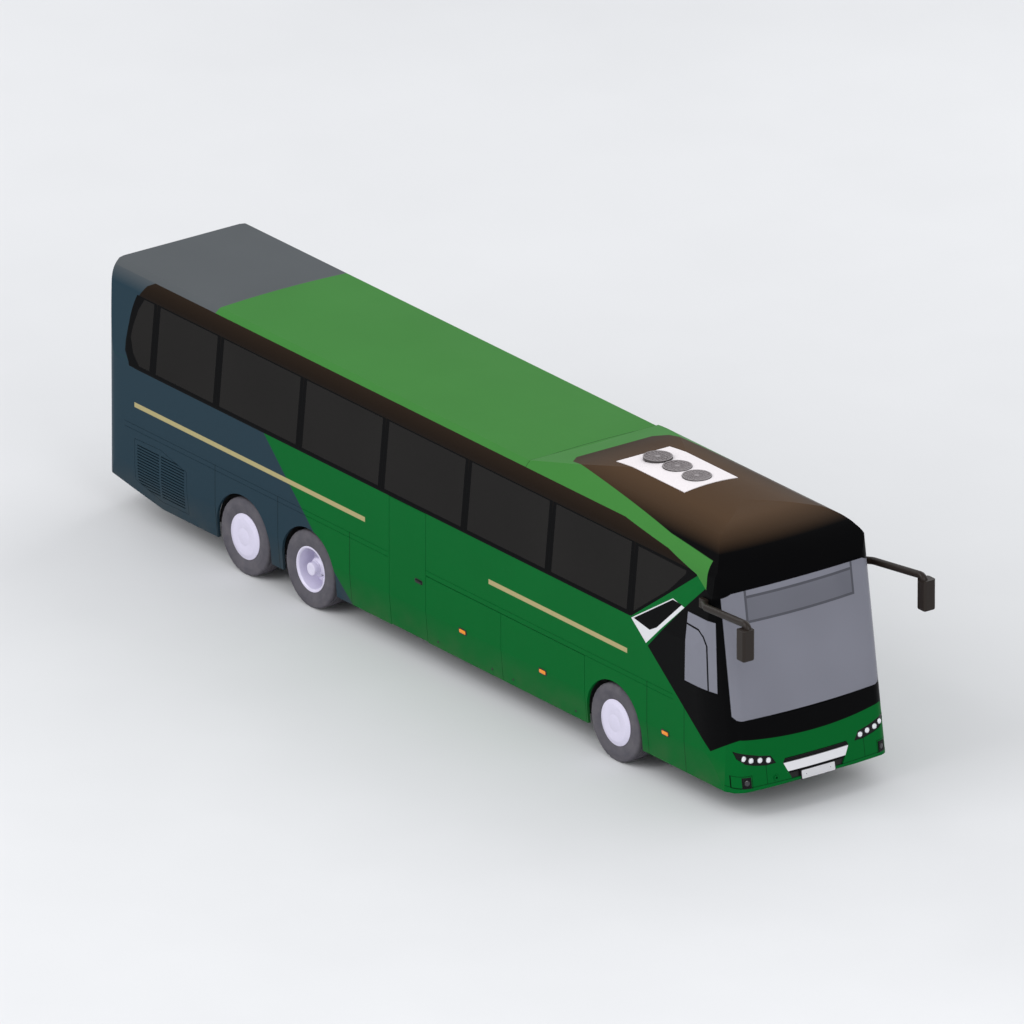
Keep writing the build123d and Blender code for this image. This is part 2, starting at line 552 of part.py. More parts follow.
# Tyre and rim sections as (outward offset from the wheel's middle plane, radius)
BEAD_R, BEAD_Y = 286, 113
HALF_TYRE = TYRE_W / 2
tyre_face = outline((-BEAD_Y, BEAD_R), (-BEAD_Y, 306), ((-HALF_TYRE, 415), (-HALF_TYRE + 12, 490)),
                    (-HALF_TYRE + 34, TYRE_R - 3), (0, TYRE_R), (HALF_TYRE - 34, TYRE_R - 3),
                    (HALF_TYRE - 12, 490), ((HALF_TYRE, 415), (BEAD_Y, 306)), (BEAD_Y, BEAD_R))
BORE = SPINDLE_R + FIT
single_rim = outline((-68, BORE), (-68, 110), (82, 110), (86, 268), (-125, 268), (-125, 304),
                     (-BEAD_Y, 304), (-BEAD_Y, BEAD_R), (BEAD_Y, BEAD_R), (BEAD_Y, 304), (125, 304),
                     (125, 282), (112, 262), (104, 150), (128, 132), (134, 0), (76, 0), (76, BORE))
TWIN = TWIN_Y[0] - TWIN_Y[1]
twin_rim = outline((-200, BORE), (-200, 120), (-172, 120), (-172, 268), (-TWIN - 125, 268),
                   (-TWIN - 125, 304), (-TWIN - BEAD_Y, 304), (-TWIN - BEAD_Y, BEAD_R),
                   (-TWIN + BEAD_Y, BEAD_R), (-TWIN + BEAD_Y, 304), (-TWIN + 125, 304), (-TWIN + 125, 280),
                   (-125, 280), (-125, 304), (-BEAD_Y, 304), (-BEAD_Y, BEAD_R), (BEAD_Y, BEAD_R),
                   (BEAD_Y, 304), (125, 304), (125, 284), (108, 268), (-120, 258), (-140, 225),
                   (-148, 140), (10, 128), (40, 84), (46, 0), (20, 0), (20, BORE))


def turned(face, x, y):
    """Revolve a wheel section about its axle, its outer side facing left."""
    body = revolve(Plane.XY * face, Axis.X, 360)
    return Pos(x, y, AXLE_Z) * (Rot(0, 0, 90) * body)


singles = {"front": 0, "tag": TAG_X}
for place, x in singles.items():
    tyre, rim = turned(tyre_face, x, WHEEL_Y), turned(single_rim, x, WHEEL_Y)
    save("tyre_" + place + "_left", tyre)
    save("tyre_" + place + "_right", mirrored(tyre))
    save("rim_" + place + "_left", rim)
    save("rim_" + place + "_right", mirrored(rim))
twins = [turned(tyre_face, DRIVE_X, y) for y in TWIN_Y]
rim = turned(twin_rim, DRIVE_X, TWIN_Y[0])
save("tyre_drive_left", *twins)
save("tyre_drive_right", *[mirrored(tyre) for tyre in twins])
save("rim_drive_left", rim)
save("rim_drive_right", mirrored(rim))
print("wheels done")

# ---- Mirrors, door arm, roof unit and inside pieces ----

MIRROR = dict(root=(1850, 1240, 2745), elbow=(2960, 1390, 2845), arm_r=48, bend=75,
              head_x=(2885, 3055), head_y=(1336, 1520), head_z=(2385, 2800))
rx, ry, rz = MIRROR["root"]
ex, ey, ez = MIRROR["elbow"]
path = FilletPolyline((rx, ry, rz), (rx + 160, ry + 80, rz + 15), (ex, ey, ez), (ex + 30, ey, ez - 130),
                      radius=MIRROR["bend"])
arm = sweep((Plane(origin=path @ 0, z_dir=path % 0)) * Circle(MIRROR["arm_r"]), path=path)
(hx0, hx1), (hy0, hy1), (hz0, hz1) = MIRROR["head_x"], MIRROR["head_y"], MIRROR["head_z"]
head = block(hx0, hx1, hy0, hy1, hz0, hz1)
head = fillet(head.edges().filter_by(Axis.Z), 35)
head = fillet(head.faces().sort_by(Axis.Z)[0].edges(), 25)
face_recess = block(hx0 - 5, hx0 + 6, hy0 + 30, hy1 - 30, hz0 + 40, hz1 - 50)
foot = block(rx - 70, rx + 60, 1100, ry + 22, rz - 66, rz + 62)
mirror = fused(arm, head - face_recess, foot) - outer
mirror = sorted(mirror.solids(), key=lambda solid: solid.volume)[-1]
save("mirrors", mirror, mirrored(mirror))

bend = (px - ARM_CRANK[0], py - ARM_CRANK[1])
bars = [post(px, py, ARM_Z[0] - 45, ARM_Z[1] + 45, ARM_SHAFT_R), post(px, py, *ARM_Z, 32),
        post(*bend, *ARM_Z, 22), post(qx, qy, *ARM_Z, 26)]
for start, end in (((px, py), bend), (bend, (qx, qy))):
    run = Vector(*end) - Vector(*start)
    middle = (Vector(*start) + Vector(*end)) * 0.5
    turn = Vector(1, 0, 0).get_signed_angle(run, Vector(0, 0, 1))
    bar = Pos(middle.X, middle.Y) * (Rot(0, 0, turn) * Rectangle(run.length, 40).faces()[0])
    bars.append(upright(bar, *ARM_Z))
save("door_arm", fused(*bars) - post(qx, qy, *ARM_Z, ARM_PIN_R + FIT))

# Roof unit: a thin panel that follows the dome, with three round fan grilles
UNIT = (-1070, 360, 420)
FAN_R, FAN_X = 190, (-760, -350, 60)
unit = (form(-8) - outer) & block(UNIT[0], UNIT[1], -UNIT[2], UNIT[2], 3500, 3700)
fans = []
for x in FAN_X:
    ring = post(x, 0, 3585, 3616, FAN_R) - post(x, 0, 3585, 3616, FAN_R - 16)
    slats = [block(x - FAN_R + 4, x + FAN_R - 4, y - 6, y + 6, 3585, 3612) for y in range(-150, 151, 50)]
    disc = post(x, 0, 3585, 3600, FAN_R - 10)
    kept = [slat & post(x, 0, 3585, 3616, FAN_R - 8) for slat in slats]
    fans.append(fused(ring, disc, post(x, 0, 3585, 3616, 34), *kept) - outer)
save("roof_unit", fused(unit, *fans))

# Dashboard with the steering column and wheel, in front of the driver on the right
WHEEL = (1760, -640, 1345, 225)
dash_face = outline((2480, CAB_Z), (2050, CAB_Z), (1990, 1150), ((1900, 1230), (1930, 1300)), (2060, 1325),
                    (2480, 1300))
dash = crosswise(dash_face, -1180, 1180) & room
dash = dash - block(1700, 2600, 380, 1300, CAB_Z, 1120)
hood = crosswise(outline((2080, 1310), (1900, 1290), ((1905, 1365), (1960, 1385)), (2080, 1375)), -900, -380)
axis = Vector(-0.5, 0, 0.866)
wx, wy, wz, wr = WHEEL
column = Solid.make_cylinder(38, 540, Plane((wx + 270, wy, wz - 468), z_dir=axis))
column = column & block(1500, 2400, -900, 900, CAB_Z, 1500)
hub = Solid.make_cylinder(55, 40, Plane((wx + 5, wy, wz - 8), z_dir=axis))
rim_plane = Plane((wx, wy, wz), z_dir=axis)
ring = rim_plane * Solid.make_torus(wr, 17)
spokes = [rim_plane * (Rot(0, 0, a) * block(20, wr - 6, -16, 16, -10, 8)) for a in (90, 210, 330)]
save("dashboard", fused(dash, hood & room, column, hub, ring, *spokes))


def seat(width):
    """Coach seat in side view, its back to the rear, from its floor rails up."""
    face = outline((40, 300), (420, 315), ((478, 350), (455, 415)), ((250, 405), (60, 430)),
                   (-80, 1120), ((-125, 1165), (-170, 1130)), (-60, 380))
    return crosswise(face, -width / 2, width / 2)


def pedestal(width):
    return fused(block(90, 330, -width / 2, width / 2, 0, 30),
                 block(150, 270, -width / 2 + 20, width / 2 - 20, 30, 310))


ROW_PITCH, ROW_FRONT, ROWS = 775, -180, 13
SEAT_Y, PAIR_W = 700, 900
pairs = []
pair = fused(seat(PAIR_W), pedestal(500))
for i in range(ROWS):
    x = ROW_FRONT - ROW_PITCH * i
    pairs.append(Pos(x, SEAT_Y, FLOOR_Z) * pair)
    if not MIDDLE_DOOR[0] - 560 < x < MIDDLE_DOOR[1] + 180:
        pairs.append(Pos(x, -SEAT_Y, FLOOR_Z) * pair)
save("passenger_seats", *pairs)
save("driver_seat", Pos(930, wy, CAB_Z) * fused(seat(500), pedestal(340)))
print("all done")
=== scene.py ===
# Three-axle coach: paint, glass, tyres, trim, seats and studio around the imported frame
import json
import math

import bmesh
import bpy
from mathutils import Matrix, Vector
from mathutils.bvhtree import BVHTree


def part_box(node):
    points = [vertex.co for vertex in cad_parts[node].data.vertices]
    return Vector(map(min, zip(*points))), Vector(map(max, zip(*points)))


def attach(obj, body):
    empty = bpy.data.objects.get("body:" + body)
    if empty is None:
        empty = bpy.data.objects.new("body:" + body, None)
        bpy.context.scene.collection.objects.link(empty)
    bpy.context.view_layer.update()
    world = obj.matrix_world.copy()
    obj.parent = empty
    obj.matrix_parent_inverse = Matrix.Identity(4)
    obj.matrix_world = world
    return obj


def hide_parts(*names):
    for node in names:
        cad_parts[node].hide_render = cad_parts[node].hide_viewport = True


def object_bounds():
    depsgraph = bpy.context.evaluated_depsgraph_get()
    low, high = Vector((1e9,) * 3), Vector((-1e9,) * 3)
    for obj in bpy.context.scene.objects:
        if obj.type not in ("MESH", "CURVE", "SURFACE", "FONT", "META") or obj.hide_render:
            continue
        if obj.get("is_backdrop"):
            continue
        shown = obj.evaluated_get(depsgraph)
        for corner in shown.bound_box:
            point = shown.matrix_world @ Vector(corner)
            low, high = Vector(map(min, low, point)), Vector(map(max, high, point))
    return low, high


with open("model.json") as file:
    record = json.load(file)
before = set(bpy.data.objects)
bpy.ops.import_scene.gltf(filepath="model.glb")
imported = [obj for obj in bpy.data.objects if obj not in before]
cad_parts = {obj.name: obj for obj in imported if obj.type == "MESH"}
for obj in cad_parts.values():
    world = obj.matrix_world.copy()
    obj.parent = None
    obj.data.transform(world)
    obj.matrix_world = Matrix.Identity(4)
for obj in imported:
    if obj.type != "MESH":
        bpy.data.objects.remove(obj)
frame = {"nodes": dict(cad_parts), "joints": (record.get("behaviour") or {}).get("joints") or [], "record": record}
cadLow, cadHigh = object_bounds()
nodes = frame["nodes"]
joints = {joint["name"]: joint for joint in frame["joints"]}
axleX = joints["spin_front_right"]["pos_m"][0]      # stations below are counted from the front axle
sides = {"right": -1, "left": 1}
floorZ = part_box("saloon_floor")[1].z

bpy.context.scene.view_settings.view_transform = "Standard"

finishes = {}        # every material by its name
slotFinishes = {
    # the slot that goes with each finish, looked up for a piece that names none; it is not stored on the piece
    "black_plastic": ("blackPlastic", "glossPlastic", "fanGrey", "displayFrame", "displayFace", "dialFace",
                      "dashGrey"),
    "bright_trim": ("chromeTrim", "brightSteel", "mirrorGlass"),
    "lamp_glass": ("clearLamp", "smokedLamp", "amberLamp"),
    "white_panel": ("plateWhite", "whitePanel"),
    "wheel_steel": ("wheelSilver",),
    "tyre_rubber": ("tyreRubber",),
    "seat_fabric": ("moquette",),
}
slotOf = {finish: slot for slot, group in slotFinishes.items() for finish in group}


def dress(name, mesh, finish, body, smooth, slot=None):
    # puts a finished mesh on its body; finish is one name or a tuple of them
    obj = bpy.data.objects.new(name, mesh)
    bpy.context.collection.objects.link(obj)
    used = finish if isinstance(finish, tuple) else (finish,)
    for entry in used:
        mesh.materials.append(finishes[entry])
    mesh.shade_smooth()
    mesh.set_sharp_from_angle(angle=math.radians(smooth))
    slot = slot or slotOf[used[0]]
    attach(obj, body)
    return obj


class Builder:
    # gathers many small solids into one mesh
    def __init__(self):
        self.bm = bmesh.new()
        self.material = 0

    def face(self, verts):
        made = self.bm.faces.new(verts)
        made.material_index = self.material
        return made

    def rounded(self, edges, width):
        result = bmesh.ops.bevel(self.bm, geom=edges, offset=width, segments=2, profile=0.6, affect="EDGES")
        return result["faces"]

    def box(self, low, high, bevel=0.0, turn=None, about=None):
        low, high = Vector(low), Vector(high)
        made = bmesh.ops.create_cube(self.bm, size=1.0)["verts"]
        bmesh.ops.scale(self.bm, verts=made, vec=high - low)
        bmesh.ops.translate(self.bm, verts=made, vec=(low + high) / 2)
        faces = set(f for v in made for f in v.link_faces)
        if bevel:
            bevelled = self.rounded(list(set(e for v in made for e in v.link_edges)), bevel)
            faces = set(f for f in faces if f.is_valid) | set(bevelled)
        if turn:
            verts = list(set(v for f in faces for v in f.verts))
            bmesh.ops.rotate(self.bm, verts=verts, cent=about or (low + high) / 2, matrix=turn)
        for face in faces:
            face.material_index = self.material

    def lathe(self, profile, centre, axis, steps=48, squeeze=None):
        # profile is (distance along the axis, radius); squeeze gives how far a point is pressed in
        axis = Vector(axis).normalized()
        side = axis.orthogonal().normalized()
        other = axis.cross(side)
        rings = []
        for along, radius in profile:
            middle = Vector(centre) + axis * along
            if radius < 1e-5:
                rings.append([self.bm.verts.new(middle)])
                continue
            ring = []
            for i in range(steps):
                angle = 2 * math.pi * i / steps
                reach = radius - (squeeze(along, radius, i) if squeeze else 0)
                spot = side * math.cos(angle) + other * math.sin(angle)
                ring.append(self.bm.verts.new(middle + spot * reach))
            rings.append(ring)
        for a, b in zip(rings, rings[1:]):
            for i in range(steps):
                j = (i + 1) % steps
                corners = list(dict.fromkeys([a[i % len(a)], a[j % len(a)], b[j % len(b)], b[i % len(b)]]))
                if len(corners) > 2:
                    self.face(corners)

    def tube(self, points, radius, steps=12):
        # round bar through points, with mitred turns
        points = [Vector(p) for p in points]
        rings = []
        for i, point in enumerate(points):
            before = (point - points[i - 1]).normalized() if i else (points[1] - point).normalized()
            after = (points[i + 1] - point).normalized() if i < len(points) - 1 else before
            along = (before + after).normalized()
            side = along.cross(Vector((0, 0, 1)))
            side = side.normalized() if side.length > 1e-4 else Vector((1, 0, 0))
            other = side.cross(along).normalized()
            stretch = 1 / max(0.5, along.dot(before))
            ring = []
            for k in range(steps):
                angle = 2 * math.pi * k / steps
                spot = side * math.cos(angle) * stretch + other * math.sin(angle)
                ring.append(self.bm.verts.new(point + spot * radius))
            rings.append(ring)
        self.skin(rings)

    def prism(self, outline, place, bevel=0.0):
        # outline points mapped to two rings by place(point, end) for end 0 and 1
        rings = [[self.bm.verts.new(place(p, end)) for p in outline] for end in (0, 1)]
        faces = [self.face(rings[0]), self.face(list(reversed(rings[1])))]
        for i in range(len(outline)):
            j = (i + 1) % len(outline)
            faces.append(self.face([rings[0][i], rings[1][i], rings[1][j], rings[0][j]]))
        if bevel:
            for face in self.rounded(list(set(e for f in faces for e in f.edges)), bevel):
                face.material_index = self.material

    def skin(self, rings):
        # closed bar through rings of equal count
        for a, b in zip(rings, rings[1:]):
            for k in range(len(a)):
                m = (k + 1) % len(a)
                self.face([a[k], a[m], b[m], b[k]])
        self.face(list(reversed(rings[0])))
        self.face(rings[-1])

    def finish(self, name, finish, body="bus", smooth=40, slot=None):
        bmesh.ops.recalc_face_normals(self.bm, faces=self.bm.faces)
        mesh = bpy.data.meshes.new(name)
        self.bm.to_mesh(mesh)
        self.bm.free()
        return dress(name, mesh, finish, body, smooth, slot)


def station(x, y, z):
    return Vector((x + axleX, y, z))


# the shader helpers below work on signed distances in metres and turn them into masks
def newMaterial(name, **settings):
    # settings are the shader's own sockets, with _ for each space
    material = bpy.data.materials.new(name)
    material.use_nodes = True
    finishes[name] = material
    tree = material.node_tree
    shader = tree.nodes["Principled BSDF"]
    for key, value in settings.items():
        shader.inputs[key.replace("_", " ")].default_value = value
    return tree, shader


def feed(tree, socket, value):
    # a number or colour is set on the socket, anything else is linked to it
    if isinstance(value, (int, float)):
        socket.default_value = value
    elif isinstance(value, (tuple, list)):
        socket.default_value = (*value[:3], 1.0) if len(socket.default_value) == 4 else value
    else:
        tree.links.new(value, socket)


def calc(tree, operation, *values):
    node = tree.nodes.new("ShaderNodeMath")
    node.operation = operation
    for socket, value in zip(node.inputs, values):
        feed(tree, socket, value)
    return node.outputs[0]


def mapped(tree, value, low, high, toLow=0.0, toHigh=1.0):
    node = tree.nodes.new("ShaderNodeMapRange")
    tree.links.new(value, node.inputs["Value"])
    for key, number in (("From Min", low), ("From Max", high), ("To Min", toLow), ("To Max", toHigh)):
        node.inputs[key].default_value = number
    return node.outputs[0]


def places(tree):
    # where it is, station along the bus, distance from the middle plane, height
    coords = tree.nodes.new("ShaderNodeTexCoord")
    split = tree.nodes.new("ShaderNodeSeparateXYZ")
    tree.links.new(coords.outputs["Object"], split.inputs[0])
    x = calc(tree, "SUBTRACT", split.outputs[0], axleX)
    return coords.outputs["Object"], x, split.outputs[1], split.outputs[2]


def leftOf(tree, u, v, start, end):
    # signed distance, positive to the left of the line from start to end
    du, dv = end[0] - start[0], end[1] - start[1]
    length = math.hypot(du, dv)
    a, b = -dv / length, du / length
    c = -(a * start[0] + b * start[1])
    return calc(tree, "MULTIPLY_ADD", v, b, calc(tree, "MULTIPLY_ADD", u, a, c))


def joined(tree, operation, values):
    total = values[0]
    for value in values[1:]:
        total = calc(tree, operation, total, value)
    return total


def anyOf(tree, *distances):
    return joined(tree, "MAXIMUM", distances)


def allOf(tree, *distances):
    return joined(tree, "MINIMUM", distances)


def inside(tree, u, v, corners):
    # signed distance into a convex outline given anticlockwise
    edges = zip(corners, corners[1:] + corners[:1])
    return allOf(tree, *[leftOf(tree, u, v, start, end) for start, end in edges])


def away(tree, value):
    return calc(tree, "ABSOLUTE", value)


def above(tree, value, limit):
    # how far value is over the limit
    return calc(tree, "SUBTRACT", value, limit)


def below(tree, value, limit):
    return calc(tree, "SUBTRACT", limit, value)


def lineAt(tree, value, place, half):
    # signed distance into a thin line across value
    return below(tree, away(tree, above(tree, value, place)), half)


def mask(tree, distance, soft=0.002):
    return mapped(tree, distance, -soft, soft)


def outside(tree, distance, soft=0.003):
    # mask of what lies out of an outline
    return mask(tree, calc(tree, "MULTIPLY", distance, -1.0), soft)


def both(tree, first, second):
    return calc(tree, "MULTIPLY", first, second)


def without(tree, kept, removed):
    return both(tree, kept, calc(tree, "SUBTRACT", 1.0, removed))


def noise(tree, vector, scale, detail=3.0):
    node = tree.nodes.new("ShaderNodeTexNoise")
    tree.links.new(vector, node.inputs["Vector"])
    node.inputs["Scale"].default_value = scale
    node.inputs["Detail"].default_value = detail
    node.inputs["Roughness"].default_value = 0.55
    return node.outputs["Fac"]


def tint(tree, factor, low, high):
    # two colours joined by a factor
    node = tree.nodes.new("ShaderNodeMix")
    node.data_type = "RGBA"
    for socket, value in zip((node.inputs[0], node.inputs[6], node.inputs[7]), (factor, low, high)):
        feed(tree, socket, value)
    return node.outputs[2]


def bump(tree, shader, height, strength=0.2, distance=0.002):
    node = tree.nodes.new("ShaderNodeBump")
    node.inputs["Strength"].default_value = strength
    node.inputs["Distance"].default_value = distance
    tree.links.new(height, node.inputs["Height"])
    tree.links.new(node.outputs[0], shader.inputs["Normal"])


def srgb(red, green, blue):
    def linear(value):
        value /= 255
        return value / 12.92 if value <= 0.04045 else ((value + 0.055) / 1.055) ** 2.4
    return (linear(red), linear(green), linear(blue))


def shaded(colour, share):
    return tuple(part * share for part in colour)


# outlines are (station, height), or (station, distance from the middle plane) on the roof
livery = {
    "green": srgb(4, 92, 38), "slate": srgb(38, 57, 68), "litRoofGreen": srgb(62, 123, 57),
    "litRoofSlate": srgb(84, 88, 91), "black": srgb(6, 6, 7), "domeSheenBrown": srgb(76, 57, 40),
    "bandSheenBrown": srgb(42, 31, 22), "gold": srgb(170, 159, 115), "white": srgb(214, 214, 218),
    "line": srgb(3, 14, 8), "dust": srgb(92, 86, 76),
    "roofTurn": (3.12, 3.36), "bandTurn": (2.90, 3.38), "domeTurn": (3.36, 3.56), "sill": (0.75, 0.33),
    "stripeZ": (1.577, 1.643), "stripes": ((-10.22, -5.26), (-2.63, 0.295)),
    "slateLine": ((-5.57, 0.33), (-7.40, 2.08)), "slateTop": 2.2, "slateRoof": -8.72,
    "panelLines": (-8.48, -7.13, -5.59, 0.71, 1.49), "panelTop": 1.335,
    "bandRear": [(-10.22, 2.105), (-8.0, 2.105), (-8.0, 3.33), (-9.95, 3.33), (-10.125, 3.235),
                 (-10.25, 3.06), (-10.34, 2.87), (-10.405, 2.65), (-10.44, 2.43), (-10.44, 2.29),
                 (-10.36, 2.17)],
    "bandFront": [(-8.1, 2.105), (0.38, 2.105), (1.15, 2.672), (1.70, 3.06), (1.46, 3.15), (0.99, 3.21),
                  (0.40, 3.27), (-0.4, 3.33), (-8.1, 3.33)],
    "cabZone": [(0.69, 1.843), (2.03, 0.80), (2.60, 1.136), (3.2, 1.5), (3.2, 2.95), (1.92, 3.05),
                (1.44, 2.555)],
    "flash": [(0.38, 2.087), (0.69, 1.843), (1.44, 2.555), (1.195, 2.60)],
    "quarter": [(0.43, 2.10), (0.765, 2.045), (0.914, 2.125), (1.387, 2.576), (1.195, 2.585)],
    "doorZone": [(0.775, 1.70), (0.95, 1.46), (1.95, 1.46), (1.95, 2.72), (0.775, 2.72)], "doorEdge": 0.1,
    "domeEdge": [(1.90, 1.155), (0.90, 1.04), (-0.72, 0.95), (-1.50, 0.80), (-1.655, 0.62)],
    "domeRear": -1.675, "domeFront": 1.85, "domeJoint": -2.1,
    "noseEdge": (0.96, 0.06), "noseTip": ((2.03, 0.80), (2.39, 1.012)),
    "bumperCrease": 0.412, "bumperUpright": 0.77, "bumperTop": 0.672,
    "fogFrame": [(0.985, 0.405), (1.205, 0.405), (1.205, 0.562), (0.985, 0.562)],
}


def polished(name, specular=0.03):
    # smooth lacquer with a thin clear coat
    return newMaterial(name, Specular_IOR_Level=specular, Coat_Weight=0.01, Coat_Roughness=0.08)


def paintOver(tree, base, distance, colour, soft=0.002):
    return tint(tree, mask(tree, distance, soft), base, colour)


def lacquer(tree, shader, base, where, peel=260.0):
    # colour, faint orange peel, and long soft waves in the gloss
    tree.links.new(base, shader.inputs["Base Color"])
    bump(tree, shader, noise(tree, where, peel, 2.0), 0.03, 0.0006)
    waves = noise(tree, where, 1.1, 2.0)
    tree.links.new(mapped(tree, waves, 0.25, 0.75, 0.29, 0.39), shader.inputs["Roughness"])


def sidePaint(name):
    # livery of the side panels, the roof edge and the tail
    tree, shader = polished(name)
    where, x, y, z = places(tree)
    low = mask(tree, leftOf(tree, x, z, *livery["slateLine"]))
    high = mask(tree, below(tree, x, livery["slateRoof"]))
    upper = mask(tree, above(tree, z, livery["slateTop"]))
    slate = calc(tree, "MAXIMUM", without(tree, low, upper), both(tree, high, upper))
    # painted light: over the shoulder the side's green and slate turn to lighter copies, standing in for the light
    # on skin that turns up
    lit = mapped(tree, z, *livery["roofTurn"])
    green = tint(tree, noise(tree, where, 0.8), livery["green"], shaded(livery["green"], 1.16))
    base = tint(tree, slate, tint(tree, lit, green, livery["litRoofGreen"]),
                tint(tree, lit, livery["slate"], livery["litRoofSlate"]))
    # gold stripes with an empty stretch between them
    lowZ, highZ = livery["stripeZ"]
    stripes = [inside(tree, x, z, [(rear, lowZ), (front, lowZ), (front, highZ), (rear, highZ)])
               for rear, front in livery["stripes"]]
    base = paintOver(tree, base, anyOf(tree, *stripes), livery["gold"])
    # black round the driver's window, with the white flash and black quarter behind it
    for zone, colour in (("cabZone", "black"), ("flash", "white"), ("quarter", "black")):
        base = paintOver(tree, base, inside(tree, x, z, livery[zone]), livery[colour])
    # on the left the entrance door is black round its glass, so the flash starts behind it
    edge = livery["doorEdge"]
    onDoor = allOf(tree, inside(tree, x, z, livery["doorZone"]), mapped(tree, y, 0.0, edge, -edge, edge))
    base = paintOver(tree, base, onDoor, livery["black"])
    # painted sheen: the black glazing band turns brown towards the gutter, where it turns up to the light
    band = anyOf(tree, inside(tree, x, z, livery["bandRear"]), inside(tree, x, z, livery["bandFront"]))
    warmSheen = tint(tree, mapped(tree, z, *livery["bandTurn"]), livery["black"], livery["bandSheenBrown"])
    base = paintOver(tree, base, band, warmSheen)
    # dark shut lines of the fixed panels
    lines = anyOf(tree, *[lineAt(tree, x, place, 0.004) for place in livery["panelLines"]])
    cut = both(tree, mask(tree, lines, 0.001), mask(tree, below(tree, z, livery["panelTop"])))
    base = tint(tree, cut, base, livery["line"])
    # grime thrown up along the sill
    grime = mapped(tree, noise(tree, where, 3.0, 6.0), 0.3, 0.9, 0.02, 0.35)
    base = tint(tree, both(tree, mapped(tree, z, *livery["sill"]), grime), base, livery["dust"])
    lacquer(tree, shader, base, where)


def roofPaint(name):
    # green and slate roof skin in lighter copies of the side's colours, painted light for skin that faces up, with
    # the black dome and its pointed rear edge
    tree, shader = polished(name, 0.02)
    where, x, y, z = places(tree)
    fade = noise(tree, where, 0.9)
    green, slate = [tint(tree, fade, shaded(livery[key], 0.94), shaded(livery[key], 1.06))
                    for key in ("litRoofGreen", "litRoofSlate")]
    base = paintOver(tree, green, below(tree, x, livery["slateRoof"]), slate)
    across, edge = away(tree, y), livery["domeEdge"]
    slants = [leftOf(tree, x, across, start, end) for start, end in zip(edge, edge[1:])]
    dome = anyOf(tree, allOf(tree, above(tree, x, livery["domeRear"]), *slants),
                 above(tree, x, livery["domeFront"]))
    # painted sheen: brown on top where the black dome faces up to the light, black where the front falls away
    sheen = tint(tree, mapped(tree, z, *livery["domeTurn"]), livery["black"], livery["domeSheenBrown"])
    base = paintOver(tree, base, dome, sheen, 0.004)
    # the joint of the dome's moulding, just behind its black edge
    base = paintOver(tree, base, lineAt(tree, x, livery["domeJoint"], 0.004), livery["line"], 0.001)
    lacquer(tree, shader, base, where, 180.0)


def nosePaint(name):
    # nose mask: black under the windscreen, its lower edge dipping in the middle and at the sides
    tree, shader = polished(name)
    where, x, y, z = places(tree)
    across = away(tree, y)
    lowest, rise = livery["noseEdge"]
    bowed = above(tree, z, calc(tree, "MULTIPLY_ADD", calc(tree, "POWER", across, 2.0), rise, lowest))
    black = anyOf(tree, bowed, leftOf(tree, x, z, *livery["noseTip"]))
    base = paintOver(tree, livery["green"], black, livery["black"])
    # painted shade: dark lines in the bumper's creases and round the panel of each fog lamp
    crease, top = livery["bumperCrease"], livery["bumperTop"]
    upright = allOf(tree, lineAt(tree, across, livery["bumperUpright"], 0.003), below(tree, z, top),
                    above(tree, z, crease))
    fogFrame = lineAt(tree, inside(tree, across, z, livery["fogFrame"]), 0.0, 0.003)
    creaseShade = anyOf(tree, lineAt(tree, z, crease, 0.003), upright, fogFrame)
    base = paintOver(tree, base, creaseShade, livery["line"], 0.001)
    lacquer(tree, shader, base, where)


glassTones = {
    # see-through tint, share seen through, colour of the gloss, which is a painted reflection laid on as base
    # colour, strength of the reflection
    "privacy": ((0.04, 0.04, 0.042), 0.35, (0.021, 0.0195, 0.0185), 0.06),
    "screen": ((0.44, 0.45, 0.50), 0.40, (0.30, 0.305, 0.36), 0.18),
    "door": ((0.30, 0.31, 0.33), 0.60, (0.24, 0.245, 0.28), 0.18),
}


def mixShaders(tree, share, first, second):
    node = tree.nodes.new("ShaderNodeMixShader")
    for socket, value in zip(node.inputs, (share, first, second)):
        tree.links.new(value, socket)
    return node.outputs[0]


def paneGlass(name, tone, frit, other=None, change=None, reflectionDim=None):
    # tinted pane with a fired black border; frit gives the border, change the part that has the other tone
    tree, shader = newMaterial(name, Base_Color=(*livery["black"], 1.0), Roughness=0.2, IOR=1.5,
                               Specular_IOR_Level=0.03)
    where, x, y, z = places(tree)
    through, clear, gloss, gleam = glassTones[tone]
    if other:
        part = mask(tree, inside(tree, x, z, change))
        through = tint(tree, part, through, glassTones[other][0])
        gloss = tint(tree, part, gloss, glassTones[other][2])
    see = tree.nodes.new("ShaderNodeBsdfTransparent")
    feed(tree, see.inputs[0], through)
    # painted reflection: the glossy layer takes the gloss colour as its base colour, varied in soft patches and
    # dimmed where the windscreen asks for it
    clouds = mapped(tree, noise(tree, where, 0.7, 1.0), 0.3, 0.7, 0.93, 1.07)
    if reflectionDim:
        clouds = both(tree, clouds, reflectionDim(tree, x, y, z))
    vary = tree.nodes.new("ShaderNodeVectorMath")
    vary.operation = "SCALE"
    feed(tree, vary.inputs[0], gloss)
    tree.links.new(clouds, vary.inputs["Scale"])
    shine = tree.nodes.new("ShaderNodeBsdfPrincipled")
    shine.inputs["Roughness"].default_value = 0.06
    shine.inputs["Specular IOR Level"].default_value = gleam
    tree.links.new(vary.outputs[0], shine.inputs["Base Color"])
    fresnel = tree.nodes.new("ShaderNodeFresnel")
    fresnel.inputs[0].default_value = 1.35
    share = mapped(tree, fresnel.outputs[0], 0.0, 1.0, 1.0 - clear, 1.0)
    pane = mixShaders(tree, share, see.outputs[0], shine.outputs[0])
    bordered = mixShaders(tree, frit(tree, x, y, z), pane, shader.outputs[0])
    tree.links.new(bordered, tree.nodes["Material Output"].inputs[0])


